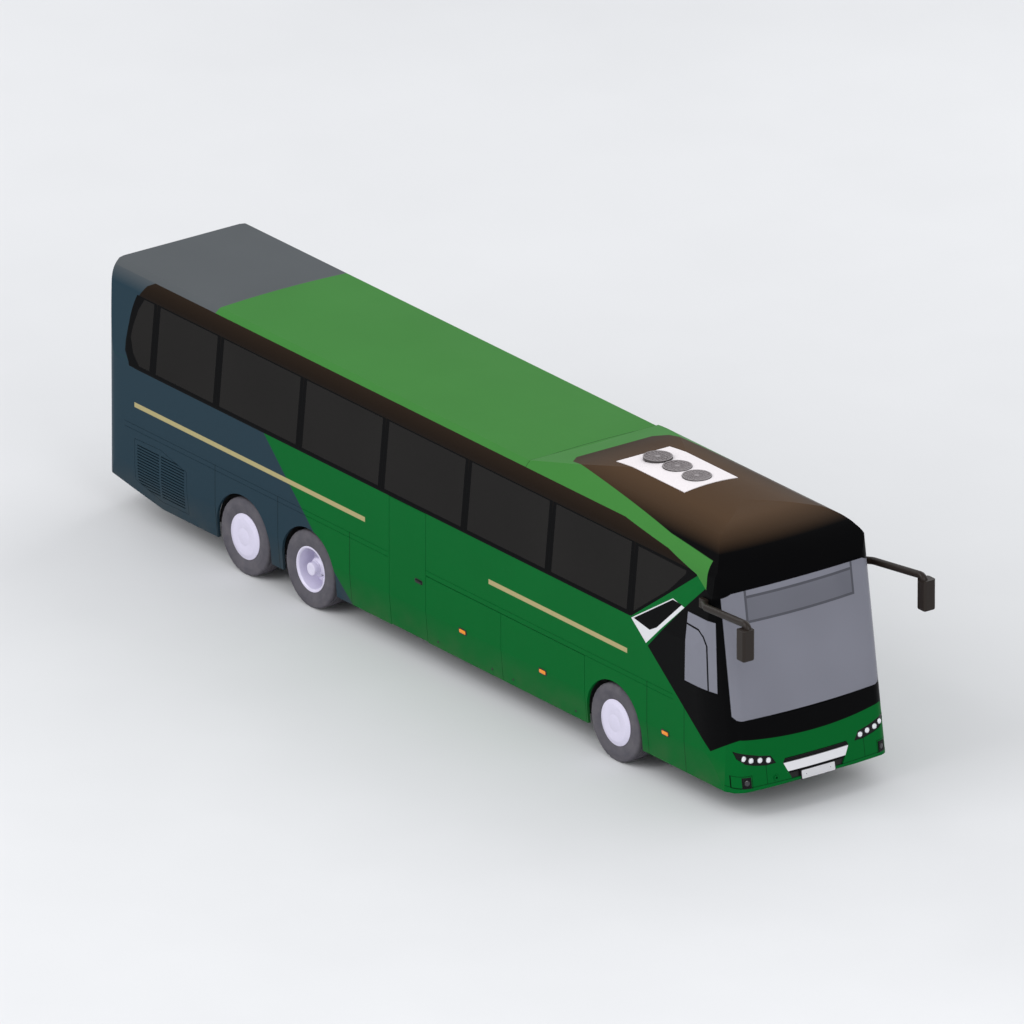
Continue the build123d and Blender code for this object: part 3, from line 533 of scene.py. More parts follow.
destination = {"half": 0.852, "low": 2.498, "high": 2.852, "top": 2.925, "bar": 0.034, "in": 0.030,
               "deep": 0.10, "steps": 12}
panes = {
    # clear parts as (station, height), or (distance from the middle plane, height) on the two ends
    "pillars": (-9.90, -8.53, -6.75, -4.99, -3.23, -1.45, 0.275), "pillar": 0.14, "low": 2.165, "high": 3.065,
    "last": [(-10.12, 2.165), (-9.90, 2.165), (-9.90, 3.065), (-10.11, 3.065), (-10.22, 2.90), (-10.31, 2.65),
             (-10.34, 2.50), (-10.265, 2.30)],
    "first": [(0.42, 2.19), (1.10, 2.685), (1.42, 3.0), (1.42, 3.04), (0.42, 3.05)],
    "driver": [(1.50, 1.60), (2.12, 1.60), (2.05, 2.53), (1.52, 2.53)],
    "divider": [(1.3, 1.4), (1.985, 1.4), (1.925, 2.185), (1.86, 2.30), (1.76, 2.36), (1.3, 2.385)],
    "driverTone": [(1.45, 1.4), (3.0, 1.4), (3.0, 2.7), (1.45, 2.7)],
    "screen": [(-0.2, 1.275), (1.06, 1.275), (1.11, 1.29), (1.155, 1.34), (1.152, 2.86), (1.02, 2.92),
               (-0.2, 2.935)],
    "tail": [(-0.2, 2.25), (0.93, 2.25), (0.955, 2.29), (0.93, 2.93), (0.88, 2.95), (-0.2, 2.95)],
    "door": [(0.89, 1.54), (1.65, 1.54), (1.65, 2.45), (0.89, 2.45)],
}


def upright(left, right, low, high):
    return [(left, low), (right, low), (right, high), (left, high)]


def sideFrit(tree, x, y, z):
    # black but for the clear part of each pane
    low, high, stops = panes["low"], panes["high"], panes["pillars"]
    clear = [inside(tree, x, z, upright(rear + panes["pillar"], front, low, high))
             for rear, front in zip(stops, stops[1:])]
    clear += [inside(tree, x, z, panes[end]) for end in ("last", "first")]
    # the driver's window has a curved divider
    divider = lineAt(tree, inside(tree, x, z, panes["divider"]), 0.0, 0.013)
    clear.append(allOf(tree, inside(tree, x, z, panes["driver"]), calc(tree, "MULTIPLY", divider, -1.0)))
    return outside(tree, anyOf(tree, *clear))


def endFrit(outline):
    return lambda tree, x, y, z: outside(tree, inside(tree, away(tree, y), z, panes[outline]))


def doorFrit(tree, x, y, z):
    return outside(tree, inside(tree, x, z, panes["door"]))


def screenReflectionDim(tree, x, y, z):
    # painted reflection and shade: share of the painted gloss colour kept, dimmer where a pillar or the
    # destination box stands behind the glass
    across = away(tree, y)
    half, bar = destination["half"], destination["bar"]
    low, high, top = destination["low"], destination["high"], destination["top"]
    outer = mask(tree, inside(tree, across, z, upright(-0.2, half, low, high)))
    inner = mask(tree, inside(tree, across, z, upright(-0.2, half - bar, low + bar, high - bar)))
    post = mask(tree, inside(tree, across, z, upright(half - bar, half, high, top)))
    bars = calc(tree, "MAXIMUM", without(tree, outer, inner), post)
    return both(tree, mapped(tree, bars, 0.0, 1.0, 1.0, 0.42), mapped(tree, inner, 0.0, 1.0, 1.0, 0.72))


def roughened(tree, shader, grain, low, high):
    tree.links.new(mapped(tree, grain, 0.2, 0.8, low, high), shader.inputs["Roughness"])


def grained(name, low, high, rough, scale, metal=0.0, strength=0.15, depth=0.001, coat=0.0, spread=0.1,
            specular=0.4):
    # mottled finish: two colours, roughness and bump from one noise
    tree, shader = newMaterial(name, Metallic=metal, Coat_Weight=coat, Specular_IOR_Level=specular)
    grain = noise(tree, places(tree)[0], scale, 4.0)
    tree.links.new(tint(tree, grain, srgb(*low), srgb(*high)), shader.inputs["Base Color"])
    roughened(tree, shader, grain, max(0.02, rough - spread), min(1.0, rough + spread))
    bump(tree, shader, grain, strength, depth)


roofFans = {"x": (-0.760, -0.350, 0.060), "radius": 0.19, "rings": 9, "spokes": 20, "wire": 0.004,
            "hub": 0.03, "rise": 0.0015, "sink": 0.004, "steps": 48}


def fanPanel(name):
    # white roof unit with its three grey fan grilles
    tree, shader = newMaterial(name, Specular_IOR_Level=0.3)
    where, x, y, z = places(tree)
    discs = []
    for middle in roofFans["x"]:
        across = above(tree, x, middle)
        reach = calc(tree, "ADD", both(tree, across, across), both(tree, y, y))
        discs.append(below(tree, calc(tree, "POWER", reach, 0.5), roofFans["radius"]))
    disc = anyOf(tree, *discs)
    grain = noise(tree, where, 40.0, 4.0)
    white = tint(tree, grain, srgb(228, 222, 225), srgb(238, 232, 234))
    grey = tint(tree, noise(tree, where, 160.0), srgb(128, 122, 124), srgb(150, 144, 145))
    base = paintOver(tree, white, disc, grey)
    base = paintOver(tree, base, lineAt(tree, disc, 0.0, 0.003), srgb(60, 56, 56))
    tree.links.new(base, shader.inputs["Base Color"])
    roughened(tree, shader, grain, 0.38, 0.52)
    bump(tree, shader, grain, 0.1, 0.001)


def grilleFinish(name):
    # gloss black trapezoid with a white bar across it
    tree, shader = newMaterial(name, Specular_IOR_Level=0.25)
    where, x, y, z = places(tree)
    bar = inside(tree, y, z, [(-0.512, 0.628), (-0.455, 0.512), (0.455, 0.512), (0.512, 0.628)])
    grain = noise(tree, where, 200.0)
    dark = tint(tree, grain, srgb(14, 13, 14), srgb(26, 24, 25))
    white = tint(tree, grain, srgb(214, 214, 218), srgb(224, 224, 227))
    tree.links.new(paintOver(tree, dark, bar, white), shader.inputs["Base Color"])
    roughened(tree, shader, grain, 0.25, 0.36)


def tyreRubber(name):
    # dusty rubber, greyer where the dust lies
    tree, shader = newMaterial(name, Specular_IOR_Level=0.2)
    where = places(tree)[0]
    grain = noise(tree, where, 90.0, 5.0)
    dust = mapped(tree, noise(tree, where, 6.0, 4.0), 0.35, 0.75)
    tree.links.new(tint(tree, dust, srgb(82, 80, 87), srgb(98, 95, 100)), shader.inputs["Base Color"])
    roughened(tree, shader, grain, 0.62, 0.85)
    bump(tree, shader, grain, 0.25, 0.0008)


def moquette(name):
    # seat cloth: woven ground with small scattered flecks
    tree, shader = newMaterial(name, Roughness=0.9, Sheen_Weight=0.35)
    where = places(tree)[0]
    weave = tree.nodes.new("ShaderNodeTexVoronoi")
    tree.links.new(where, weave.inputs["Vector"])
    weave.inputs["Scale"].default_value = 34.0
    fleck = mapped(tree, weave.outputs["Distance"], 0.10, 0.16, 1.0, 0.0)
    ground = tint(tree, noise(tree, where, 420.0, 2.0), srgb(22, 34, 44), srgb(44, 58, 70))
    tree.links.new(tint(tree, fleck, ground, srgb(150, 132, 84)), shader.inputs["Base Color"])
    bump(tree, shader, noise(tree, where, 700.0, 2.0), 0.5, 0.0008)


plainFinishes = {
    # two colours, roughness, size of the grain, and what differs from the usual plain finish
    "wheelSilver": ((210, 205, 226), (222, 217, 237), 0.38, 60.0,
                    {"metal": 0.05, "coat": 0.15, "strength": 0.05}),
    "blackPlastic": ((24, 24, 25), (38, 38, 39), 0.55, 380.0, {"strength": 0.3, "depth": 0.0006}),
    "glossPlastic": ((9, 9, 10), (16, 16, 17), 0.26, 200.0,
                     {"strength": 0.03, "spread": 0.06, "specular": 0.15}),
    "chassisPaint": ((30, 31, 33), (48, 48, 49), 0.6, 26.0, {"strength": 0.3}),
    "ironCast": ((70, 68, 66), (110, 106, 102), 0.65, 110.0, {"metal": 0.6, "strength": 0.5}),
    "brightSteel": ((150, 150, 155), (190, 190, 194), 0.28, 240.0,
                    {"metal": 0.95, "strength": 0.05}),
    "chromeTrim": ((170, 170, 178), (190, 190, 197), 0.22, 60.0,
                   {"metal": 0.6, "strength": 0.02, "spread": 0.04, "coat": 0.4}),
    "whitePanel": ((176, 176, 182), (192, 192, 197), 0.42, 40.0, {"strength": 0.1, "coat": 0.2}),
    "fanGrey": ((124, 118, 120), (146, 140, 141), 0.5, 160.0, {"strength": 0.2}),
    "floorCover": ((52, 54, 58), (82, 84, 88), 0.7, 300.0, {"strength": 0.4}),
    "clearLamp": ((215, 218, 222), (235, 238, 240), 0.08, 60.0,
                  {"strength": 0.02, "spread": 0.03, "coat": 0.8}),
    "redLamp": ((112, 4, 6), (138, 8, 8), 0.16, 200.0,
                {"coat": 0.15, "spread": 0.04, "specular": 0.15}),
    "amberLamp": ((232, 130, 14), (245, 152, 24), 0.2, 160.0, {"coat": 0.3, "spread": 0.05}),
    "smokedLamp": ((28, 28, 31), (44, 44, 48), 0.12, 200.0,
                   {"strength": 0.1, "coat": 0.5, "spread": 0.04}),
    "plateWhite": ((196, 196, 200), (208, 208, 211), 0.35, 50.0, {"strength": 0.03}),
    "mirrorGlass": ((150, 156, 162), (168, 172, 178), 0.05, 20.0,
                    {"metal": 1.0, "strength": 0.0, "spread": 0.02}),
    # mirror shells are black with a brown cast that is a painted warm sheen
    "mirrorShell": ((26, 20, 17), (40, 32, 26), 0.42, 300.0,
                    {"strength": 0.2, "depth": 0.0006, "specular": 0.25}),
    "displayFace": ((120, 127, 132), (134, 141, 146), 0.6, 90.0, {"strength": 0.1}),
    "displayFrame": ((40, 40, 46), (54, 54, 60), 0.5, 200.0, {"strength": 0.2}),
    "dialFace": ((12, 13, 14), (22, 23, 24), 0.4, 300.0, {"strength": 0.1}),
    "dashGrey": ((58, 59, 62), (76, 77, 80), 0.62, 420.0, {"strength": 0.3, "depth": 0.0006}),
}
for name, (low, high, rough, scale, extras) in plainFinishes.items():
    grained(name, low, high, rough, scale, **extras)
sidePaint("coachPaint")
roofPaint("roofPaint")
nosePaint("nosePaint")
paneGlass("privacyGlass", "privacy", sideFrit, "screen", panes["driverTone"])
paneGlass("windscreenGlass", "screen", endFrit("screen"), reflectionDim=screenReflectionDim)
paneGlass("tailGlass", "privacy", endFrit("tail"))
paneGlass("doorGlass", "door", doorFrit)
tyreRubber("tyreRubber")
moquette("moquette")
fanPanel("roofUnitPanel")
grilleFinish("grilleBar")

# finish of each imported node; a node that isn't named is a tyre or a rim
nodeFinishes = {
    "coachPaint": ("side_frame_right", "side_frame_left", "skirt_right", "skirt_left", "flap_right_rear",
                   "flap_right_front", "flap_left_rear", "flap_left_front", "middle_door", "entrance_door",
                   "rear_wall", "rear_bumper", "engine_flap", "radiator_flap"),
    "roofPaint": ("roof_skin", "roof_dome"),
    "nosePaint": ("front_mask", "front_bumper"),
    "windscreenGlass": ("windscreen",),
    "privacyGlass": ("side_glass",),
    "tailGlass": ("rear_glass",),
    "doorGlass": ("entrance_glass",),
    "roofUnitPanel": ("roof_unit",),
    "glossPlastic": ("front_lamps",),
    "redLamp": ("tail_lamps",),
    "grilleBar": ("front_grille",),
    "mirrorShell": ("mirrors",),
    "dashGrey": ("dashboard",),
    "floorCover": ("saloon_floor", "stairwells"),
    "chassisPaint": ("luggage_bay", "underframe", "front_axle", "drive_axle", "tag_axle"),
    "blackPlastic": ("arch_liners",),
    "ironCast": ("engine_block", "knuckle_right", "knuckle_left"),
    "brightSteel": ("door_arm",),
    "moquette": ("driver_seat", "passenger_seats"),
}
finishOf = {node: finish for finish, group in nodeFinishes.items() for node in group}
for node, obj in nodes.items():
    finish = finishOf.get(node, "tyreRubber" if node.startswith("tyre") else "wheelSilver")
    for entry in obj.material_slots:
        entry.material = finishes[finish]
print("stage: finishes ready")


camera = {"azimuth": 53.24, "elevation": 21.80, "target": (-3.840, 0.0, 1.864), "distance": 506.3,
          "lens": 1400.0, "sensor": 36.0, "reach": 1500.0}
studio = {
    # place, size and power of each lamp
    "lamps": {"key": ((-4.0, -26.0, 22.0), 24.0, 5200.0), "front": ((26.0, -6.0, 14.0), 16.0, 2200.0),
              "back": ((-6.0, 24.0, 18.0), 24.0, 2600.0), "tail": ((-30.0, 2.0, 14.0), 16.0, 1500.0)},
    "aim": (0, 0, 1.5), "world": (0.86, 0.87, 0.89, 1.0), "worldStrength": 0.75, "floor": 160.0,
}


def makeCamera():
    data = bpy.data.cameras.new("camera")
    data.lens = camera["lens"]
    data.sensor_width = camera["sensor"]
    data.clip_end = camera["reach"]
    obj = bpy.data.objects.new("camera", data)
    bpy.context.collection.objects.link(obj)
    turn, rise = math.radians(camera["azimuth"]), math.radians(camera["elevation"])
    toward = Vector((math.sin(turn) * math.cos(rise), -math.cos(turn) * math.cos(rise), math.sin(rise)))
    obj.location = station(*camera["target"]) + toward * camera["distance"]
    obj.rotation_euler = toward.to_track_quat("Z", "Y").to_euler()
    bpy.context.scene.camera = obj


def makeStage():
    reach = studio["floor"]
    mesh = bpy.data.meshes.new("floor")
    corners = [(-reach, -reach, 0), (reach, -reach, 0), (reach, reach, 0), (-reach, reach, 0)]
    mesh.from_pydata(corners, [], [(0, 1, 2, 3)])
    floor = bpy.data.objects.new("floor", mesh)
    bpy.context.collection.objects.link(floor)
    tree, shader = newMaterial("studioFloor", Roughness=0.9)
    grain = noise(tree, places(tree)[0], 0.4, 2.0)
    tree.links.new(tint(tree, grain, srgb(214, 215, 217), srgb(220, 221, 223)), shader.inputs["Base Color"])
    mesh.materials.append(finishes["studioFloor"])
    floor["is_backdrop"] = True


def makeLights():
    for name, (spot, size, power) in studio["lamps"].items():
        data = bpy.data.lights.new(name, "AREA")
        data.shape = "SQUARE"
        data.size = size
        data.energy = power
        lamp = bpy.data.objects.new(name, data)
        bpy.context.collection.objects.link(lamp)
        lamp.location = spot
        lamp.rotation_euler = (Vector(spot) - Vector(studio["aim"])).to_track_quat("Z", "Y").to_euler()
    world = bpy.data.worlds.new("studio")
    bpy.context.scene.world = world
    world.use_nodes = True
    background = world.node_tree.nodes["Background"]
    background.inputs[0].default_value = studio["world"]
    background.inputs[1].default_value = studio["worldStrength"]


makeCamera()
makeStage()
makeLights()
print("stage: studio ready")


tyreSpec = {
    "radius": 0.522, "steps": 144, "drop": 0.3, "outer": 1.105, "inner": 0.785,
    "groove": 0.011, "grooveHalf": 0.006, "grooves": (0.078, 0.027, -0.027, -0.078), "ribs": 0.0255,
    # one half of the section, from the bead up the side to the shoulder: (across, radius)
    "side": [(0.113, 0.286), (0.117, 0.300), (0.119, 0.310), (0.1215, 0.3145), (0.1225, 0.322),
             (0.1285, 0.338), (0.1345, 0.360), (0.1395, 0.385), (0.1425, 0.405), (0.1445, 0.412),
             (0.1449, 0.425), (0.1435, 0.432), (0.1425, 0.452), (0.1395, 0.470), (0.1385, 0.482),
             (0.1345, 0.497), (0.126, 0.511), (0.113, 0.5185), (0.100, 0.5195)],
    # cuts across the tread: from this radius out, shoulder slots and fine sipes on every fourth step
    "cutFrom": 0.508, "shoulder": 0.095, "slot": 0.007, "sipe": 0.0022, "every": 4,
}


def tyreProfile():
    # section from the inner bead over the grooved tread to the outer bead
    def crown(across):
        return tyreSpec["radius"] - tyreSpec["drop"] * across ** 2

    edge, tread = tyreSpec["grooveHalf"], []
    foot = edge * 0.7
    for centre in tyreSpec["grooves"]:
        lip, floor = crown(centre) - 0.0005, crown(centre) - tyreSpec["groove"]
        tread += [(centre + edge, lip), (centre + foot, floor), (centre - foot, floor), (centre - edge, lip)]
        rib = centre - tyreSpec["ribs"]
        tread.append((rib, crown(rib)))
    side = tyreSpec["side"]
    return side + tread[:-1] + [(-across, reach) for across, reach in reversed(side)]


def treadCut(across, reach, step):
    # depth of the slots at the shoulders and of the sipes over the ribs
    phase = step % tyreSpec["every"]
    if reach < tyreSpec["cutFrom"]:
        return 0.0
    if abs(across) > tyreSpec["shoulder"]:
        return tyreSpec["slot"] if phase == 0 else 0.0
    return tyreSpec["sipe"] if phase == 2 else 0.0


def makeTyre(place, side):
    # one tyre, or two side by side on a drive wheel
    low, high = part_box("tyre_%s_%s" % (place, side))
    centre = (low + high) / 2
    sign = sides[side]
    build = Builder()
    for y in ("outer", "inner") if place == "drive" else ("outer",):
        build.lathe(tyreProfile(), (centre.x, sign * tyreSpec[y], centre.z), (0, sign, 0), tyreSpec["steps"],
                    treadCut)
    body = "wheel_%s_%s" % (place, side)
    piece = build.finish("tyreTread_%s_%s" % (place, side), "tyreRubber", body, 32)
    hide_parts("tyre_%s_%s" % (place, side))


wheelSpec = {
    # profiles run outwards from the wheel's outer plane: (out, radius)
    "y": 1.105, "nuts": 10, "nutCircle": 0.190, "nut": 0.0165, "nutLong": 0.020, "dish": -0.147,
    "bolts": 8, "boltCircle": 0.105, "bolt": 0.009, "boltLong": 0.010, "boltOut": 0.012,
    "holes": 8, "holeCircle": 0.238, "holeOut": -0.1335, "valve": (0.268, 0.11), "valveWire": 0.004,
    "hole": [(-0.012, 0.018), (0.0012, 0.0185), (0.0016, 0.0165), (-0.006, 0.015), (-0.008, 0.0)],
    # raised flat disc inside a sloping ring, on the single wheels
    "cover": [(0.110, 0.0), (0.110, 0.300), (0.1215, 0.3068), (0.1262, 0.3068), (0.1282, 0.3045),
              (0.1292, 0.2990), (0.1470, 0.2530), (0.1492, 0.2455), (0.1500, 0.2370), (0.1503, 0.1200),
              (0.1498, 0.1185), (0.1498, 0.1155), (0.1503, 0.1140), (0.1505, 0.0)],
    # long hub cap of a drive wheel, reaching out to the plane of the rim's edge
    "hub": [(0.030, 0.0), (0.030, 0.094), (0.046, 0.094), (0.050, 0.0905), (0.052, 0.0885),
            (0.112, 0.0860), (0.119, 0.0830), (0.1225, 0.0760), (0.1235, 0.0700), (0.1235, 0.0400),
            (0.1220, 0.0385), (0.1220, 0.0)],
}


def around(centre, sign, out, circle, count, first):
    # places evenly spaced round a wheel's axis
    for i in range(count):
        angle = 2 * math.pi * (i + first) / count
        yield centre + Vector((math.cos(angle) * circle, sign * out, math.sin(angle) * circle))


def nutProfile(radius, long):
    return [(-0.004, radius * 1.25), (0.002, radius * 1.25), (0.002, radius), (long, radius),
            (long + 0.003, radius * 0.7), (long + 0.003, 0)]


def makeDriveTrim(side, centre, sign):
    # nuts, hub bolts, hub cap, dark cups of painted shade in the hand holes, and the valve
    axis, body = (0, sign, 0), "wheel_drive_" + side
    metal, hub, dark = Builder(), Builder(), Builder()
    for spot in around(centre, sign, wheelSpec["dish"], wheelSpec["nutCircle"], wheelSpec["nuts"], 0.5):
        metal.lathe(nutProfile(wheelSpec["nut"], wheelSpec["nutLong"]), spot, axis, 6)
    for spot in around(centre, sign, wheelSpec["boltOut"], wheelSpec["boltCircle"], wheelSpec["bolts"], 0.5):
        metal.lathe(nutProfile(wheelSpec["bolt"], wheelSpec["boltLong"]), spot, axis, 6)
    hub.lathe(wheelSpec["hub"], centre, axis, 64)
    # painted shade: dark cups stand in for the shade inside the hand holes
    for spot in around(centre, sign, wheelSpec["holeOut"], wheelSpec["holeCircle"], wheelSpec["holes"], 0.25):
        dark.lathe(wheelSpec["hole"], spot, axis, 20)
    reach, out = wheelSpec["valve"]
    valve = centre + Vector((reach, sign * out, 0.0))
    bends = [(0, 0, 0), (-0.012, sign * 0.012, 0), (-0.03, sign * 0.017, 0)]
    dark.tube([valve + Vector(bend) for bend in bends], wheelSpec["valveWire"], 8)
    metal.finish("wheelNuts_drive_" + side, "wheelSilver", body, 30, "steel")
    hub.finish("hubCap_drive_" + side, "wheelSilver", body, 24)
    dark.finish("wheelHoleShadeAndValve_drive_" + side, "blackPlastic", body, 30)


def makeWheelCover(place, side, centre, sign):
    cover = Builder()
    cover.lathe(wheelSpec["cover"], centre, (0, sign, 0), 96)
    cover.finish("wheelCover_%s_%s" % (place, side), "wheelSilver", "wheel_%s_%s" % (place, side), 24)


def makeWheelTrim(place, side):
    sign = sides[side]
    low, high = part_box("rim_%s_%s" % (place, side))
    centre = Vector(((low.x + high.x) / 2, sign * wheelSpec["y"], (low.z + high.z) / 2))
    if place == "drive":
        makeDriveTrim(side, centre, sign)
    else:
        makeWheelCover(place, side, centre, sign)


for place in ("front", "drive", "tag"):
    for side in sides:
        makeTyre(place, side)
        makeWheelTrim(place, side)
print("stage: wheels ready")


# places are from the seat's own spot on the floor: forwards, across, up
seatSpec = {
    "rows": 13, "front": -0.180, "pitch": 0.775, "y": 0.700, "gapFrom": -5.30, "gapTo": -3.79,
    "wide": 0.435, "headWide": 0.30, "apart": 0.2225, "lean": 0.135, "hinge": (-0.085, 0.40), "fill": 0.75,
    "squab": {"line": [(0.055, 0.385), (0.20, 0.372), (0.36, 0.382), (0.455, 0.372)], "thick": 0.075},
    "back": {"line": [(-0.100, 1.02), (-0.062, 0.84), (-0.030, 0.62), (0.045, 0.430)], "thick": 0.070,
             "bolster": 0.06},
    "head": {"line": [(-0.142, 1.150), (-0.122, 1.08), (-0.100, 0.985)], "thick": 0.060, "rows": 8},
}
driverSpec = {"forward": 0.17, "fill": 0.8, "folds": 5, "fold": 0.045, "tuck": 0.012}
cushionShape = {"around": 24, "crown": 0.018, "corner": 0.35, "face": 0.55, "endRound": 1.6, "boltFrom": 0.62,
                "edgeFrom": 0.9}
puff = {"frames": 15, "cap": 0.010, "quality": 5, "pressure": 3.0, "tension": 25, "squeeze": 15,
        "bending": 2.0}


def alongLine(line, share):
    # point and direction at a share of the line's length
    lengths = [math.hypot(b[0] - a[0], b[1] - a[1]) for a, b in zip(line, line[1:])]
    left = share * sum(lengths)
    for a, b, length in zip(line, line[1:], lengths):
        if left <= length + 1e-9:
            break
        left -= length
    part = min(1.0, left / length)
    run = (b[0] - a[0], b[1] - a[1])
    return (a[0] + run[0] * part, a[1] + run[1] * part), run


def cushionForm(width, line, thick, rows=14, bolster=0.03):
    # padded slab that follows line, a list of (x, z), with rounded sides and crowned face
    verts, faces, count = [], [], cushionShape["around"]
    for i in range(rows + 1):
        share = i / rows
        (x, z), (dx, dz) = alongLine(line, share)
        size = math.hypot(dx, dz)
        nx, nz = -dz / size, dx / size
        full = min(1.0, math.sqrt(max(0.0, min(share, 1 - share) * rows / cushionShape["endRound"])))
        for j in range(count):
            angle = 2 * math.pi * j / count
            c, s = math.cos(angle), math.sin(angle)
            across = math.copysign(abs(c) ** cushionShape["corner"], c) * width / 2 * (0.90 + 0.10 * full)
            lift = math.copysign(abs(s) ** cushionShape["face"], s) * thick / 2 * (0.25 + 0.75 * full)
            if s > 0:
                edge = abs(across) / (width / 2)
                fall = 1 - max(0.0, edge - cushionShape["edgeFrom"]) * 6
                lift += cushionShape["crown"] * (1 - edge ** 2) * full
                lift += bolster * max(0.0, edge - cushionShape["boltFrom"]) * full * fall
            verts.append((x + nx * lift, across, z + nz * lift))
        base = i * count
        for j in range(count if i else 0):
            k = (j + 1) % count
            faces.append((base - count + j, base - count + k, base + k, base + j))
    faces.append(tuple(range(count)))
    faces.append(tuple(reversed(range(rows * count, (rows + 1) * count))))
    return verts, faces


def applyModifiers(obj):
    bpy.context.view_layer.update()
    graph = bpy.context.evaluated_depsgraph_get()
    settled = bpy.data.meshes.new_from_object(obj.evaluated_get(graph))
    obj.modifiers.clear()
    obj.data = settled


def puffed(name, verts, faces):
    # cloth with pressure fills the cover; how far a point moves is capped
    mesh = bpy.data.meshes.new(name)
    mesh.from_pydata(verts, [], faces)
    mesh.validate()
    obj = bpy.data.objects.new(name, mesh)
    bpy.context.collection.objects.link(obj)
    rounder = obj.modifiers.new("round", "SUBSURF")
    rounder.levels = 1
    applyModifiers(obj)
    before = [v.co.copy() for v in obj.data.vertices]
    scene = bpy.context.scene
    settings = obj.modifiers.new("cloth", "CLOTH").settings
    settings.quality = puff["quality"]
    settings.use_pressure = True
    settings.uniform_pressure_force = puff["pressure"]
    settings.effector_weights.gravity = 0.0
    settings.tension_stiffness = puff["tension"]
    settings.compression_stiffness = puff["squeeze"]
    settings.bending_stiffness = puff["bending"]
    for number in range(puff["frames"]):
        scene.frame_set(number + 1)
    applyModifiers(obj)
    scene.frame_set(1)
    for vertex, start in zip(obj.data.vertices, before):
        shift = vertex.co - start
        if shift.length > puff["cap"]:
            vertex.co = start + shift.normalized() * puff["cap"]
    points = [v.co.copy() for v in obj.data.vertices]
    polygons = [tuple(p.vertices) for p in obj.data.polygons]
    bpy.data.objects.remove(obj)
    return points, polygons


def makeCushion(name, form, spots, replaced=None):
    # the same cushion at each spot, as one padded piece
    points, polygons = form
    verts = [tuple(point + spot) for spot in spots for point in points]
    faces = [tuple(v + len(points) * i for v in face) for i in range(len(spots)) for face in polygons]
    mesh = bpy.data.meshes.new(name)
    mesh.from_pydata(verts, [], faces)
    mesh.validate()
    mesh.update()
    piece = dress(name, mesh, "moquette", "bus", 60)
    if replaced:
        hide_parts(replaced)


def seatPlaces():
    spots = []
    for row in range(seatSpec["rows"]):
        x = seatSpec["front"] - seatSpec["pitch"] * row
        ways = (1,) if seatSpec["gapFrom"] < x < seatSpec["gapTo"] else (1, -1)
        spots += [station(x, way * seatSpec["y"], floorZ) for way in ways]
    return spots


def makePair(shells, legs, base):
    # moulded shells of two seats on one frame, with arm rests and two feet
    def part(build, low, high, bevel, turn=None, about=None):
        build.box(base + Vector(low), base + Vector(high), bevel, turn, about)

    lean = Matrix.Rotation(-seatSpec["lean"], 3, "Y")
    for middle in (-seatSpec["apart"], seatSpec["apart"]):
        hinge = base + Vector((seatSpec["hinge"][0], middle, seatSpec["hinge"][1]))
        part(shells, (-0.10, middle - 0.212, 0.40), (-0.072, middle + 0.212, 1.10), 0.012, lean, hinge)
        part(shells, (0.03, middle - 0.208, 0.312), (0.435, middle + 0.208, 0.338), 0.01)
    for low, high in ((-0.458, -0.4384), (-0.010, 0.010), (0.4384, 0.454)):
        part(legs, (-0.03, low, 0.555), (0.31, high, 0.585), 0.008)
    for y in (-0.20, 0.20):
        part(legs, (0.16, y - 0.02, 0.0), (0.22, y + 0.02, 0.315), 0.006)
        part(legs, (0.09, y - 0.03, 0.0), (0.33, y + 0.03, 0.018), 0.004)
    for x in (0.10, 0.30):
        part(legs, (x, -0.42, 0.285), (x + 0.06, 0.42, 0.312), 0.005)


def makeSeats(forms):
    spots = seatPlaces()
    middles = [spot + Vector((0, half * seatSpec["apart"], 0)) for spot in spots for half in (-1, 1)]
    squab, back, head = forms
    makeCushion("seatSquabs", squab, middles, "passenger_seats")
    makeCushion("seatBacks", back, middles)
    makeCushion("seatHeads", head, middles)
    shells, legs = Builder(), Builder()
    for base in spots:
        makePair(shells, legs, base)
    shells.finish("seatShells", "dashGrey")
    legs.finish("seatLegs", "blackPlastic")


def makeDriverSeat(forms):
    low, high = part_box("driver_seat")
    spot = Vector((low.x + driverSpec["forward"], (low.y + high.y) / 2, low.z))
    squab, back, head = forms
    makeCushion("driverSquab", squab, [spot], "driver_seat")
    makeCushion("driverBack", back, [spot])
    makeCushion("driverHead", head, [spot])
    # foot, bellows over the spring, seat pan and the shell of the back
    base, fold = Builder(), driverSpec["fold"]
    base.box(spot + Vector((0.06, -0.20, 0.0)), spot + Vector((0.38, 0.20, 0.05)), 0.01)
    for i in range(driverSpec["folds"]):
        z, tuck = 0.05 + fold * i, driverSpec["tuck"] * (i % 2)
        base.box(spot + Vector((0.10 - tuck, -0.15, z)), spot + Vector((0.34 + tuck, 0.15, z + fold)), 0.012)
    base.box(spot + Vector((0.03, -0.22, 0.275)), spot + Vector((0.44, 0.22, 0.33)), 0.015)
    hinge = spot + Vector((seatSpec["hinge"][0], 0, seatSpec["hinge"][1]))
    base.box(spot + Vector((-0.10, -0.21, 0.40)), spot + Vector((-0.072, 0.21, 1.08)), 0.012,
             Matrix.Rotation(-seatSpec["lean"], 3, "Y"), hinge)
    base.finish("driverSeatFrame", "blackPlastic")


seatForms = [
    puffed("squab", *cushionForm(seatSpec["wide"], **seatSpec["squab"])),
    puffed("backrest", *cushionForm(seatSpec["wide"], **seatSpec["back"])),
    puffed("headrest", *cushionForm(seatSpec["headWide"], **seatSpec["head"])),
]
makeSeats(seatForms)
makeDriverSeat(seatForms)
print("stage: seats ready")


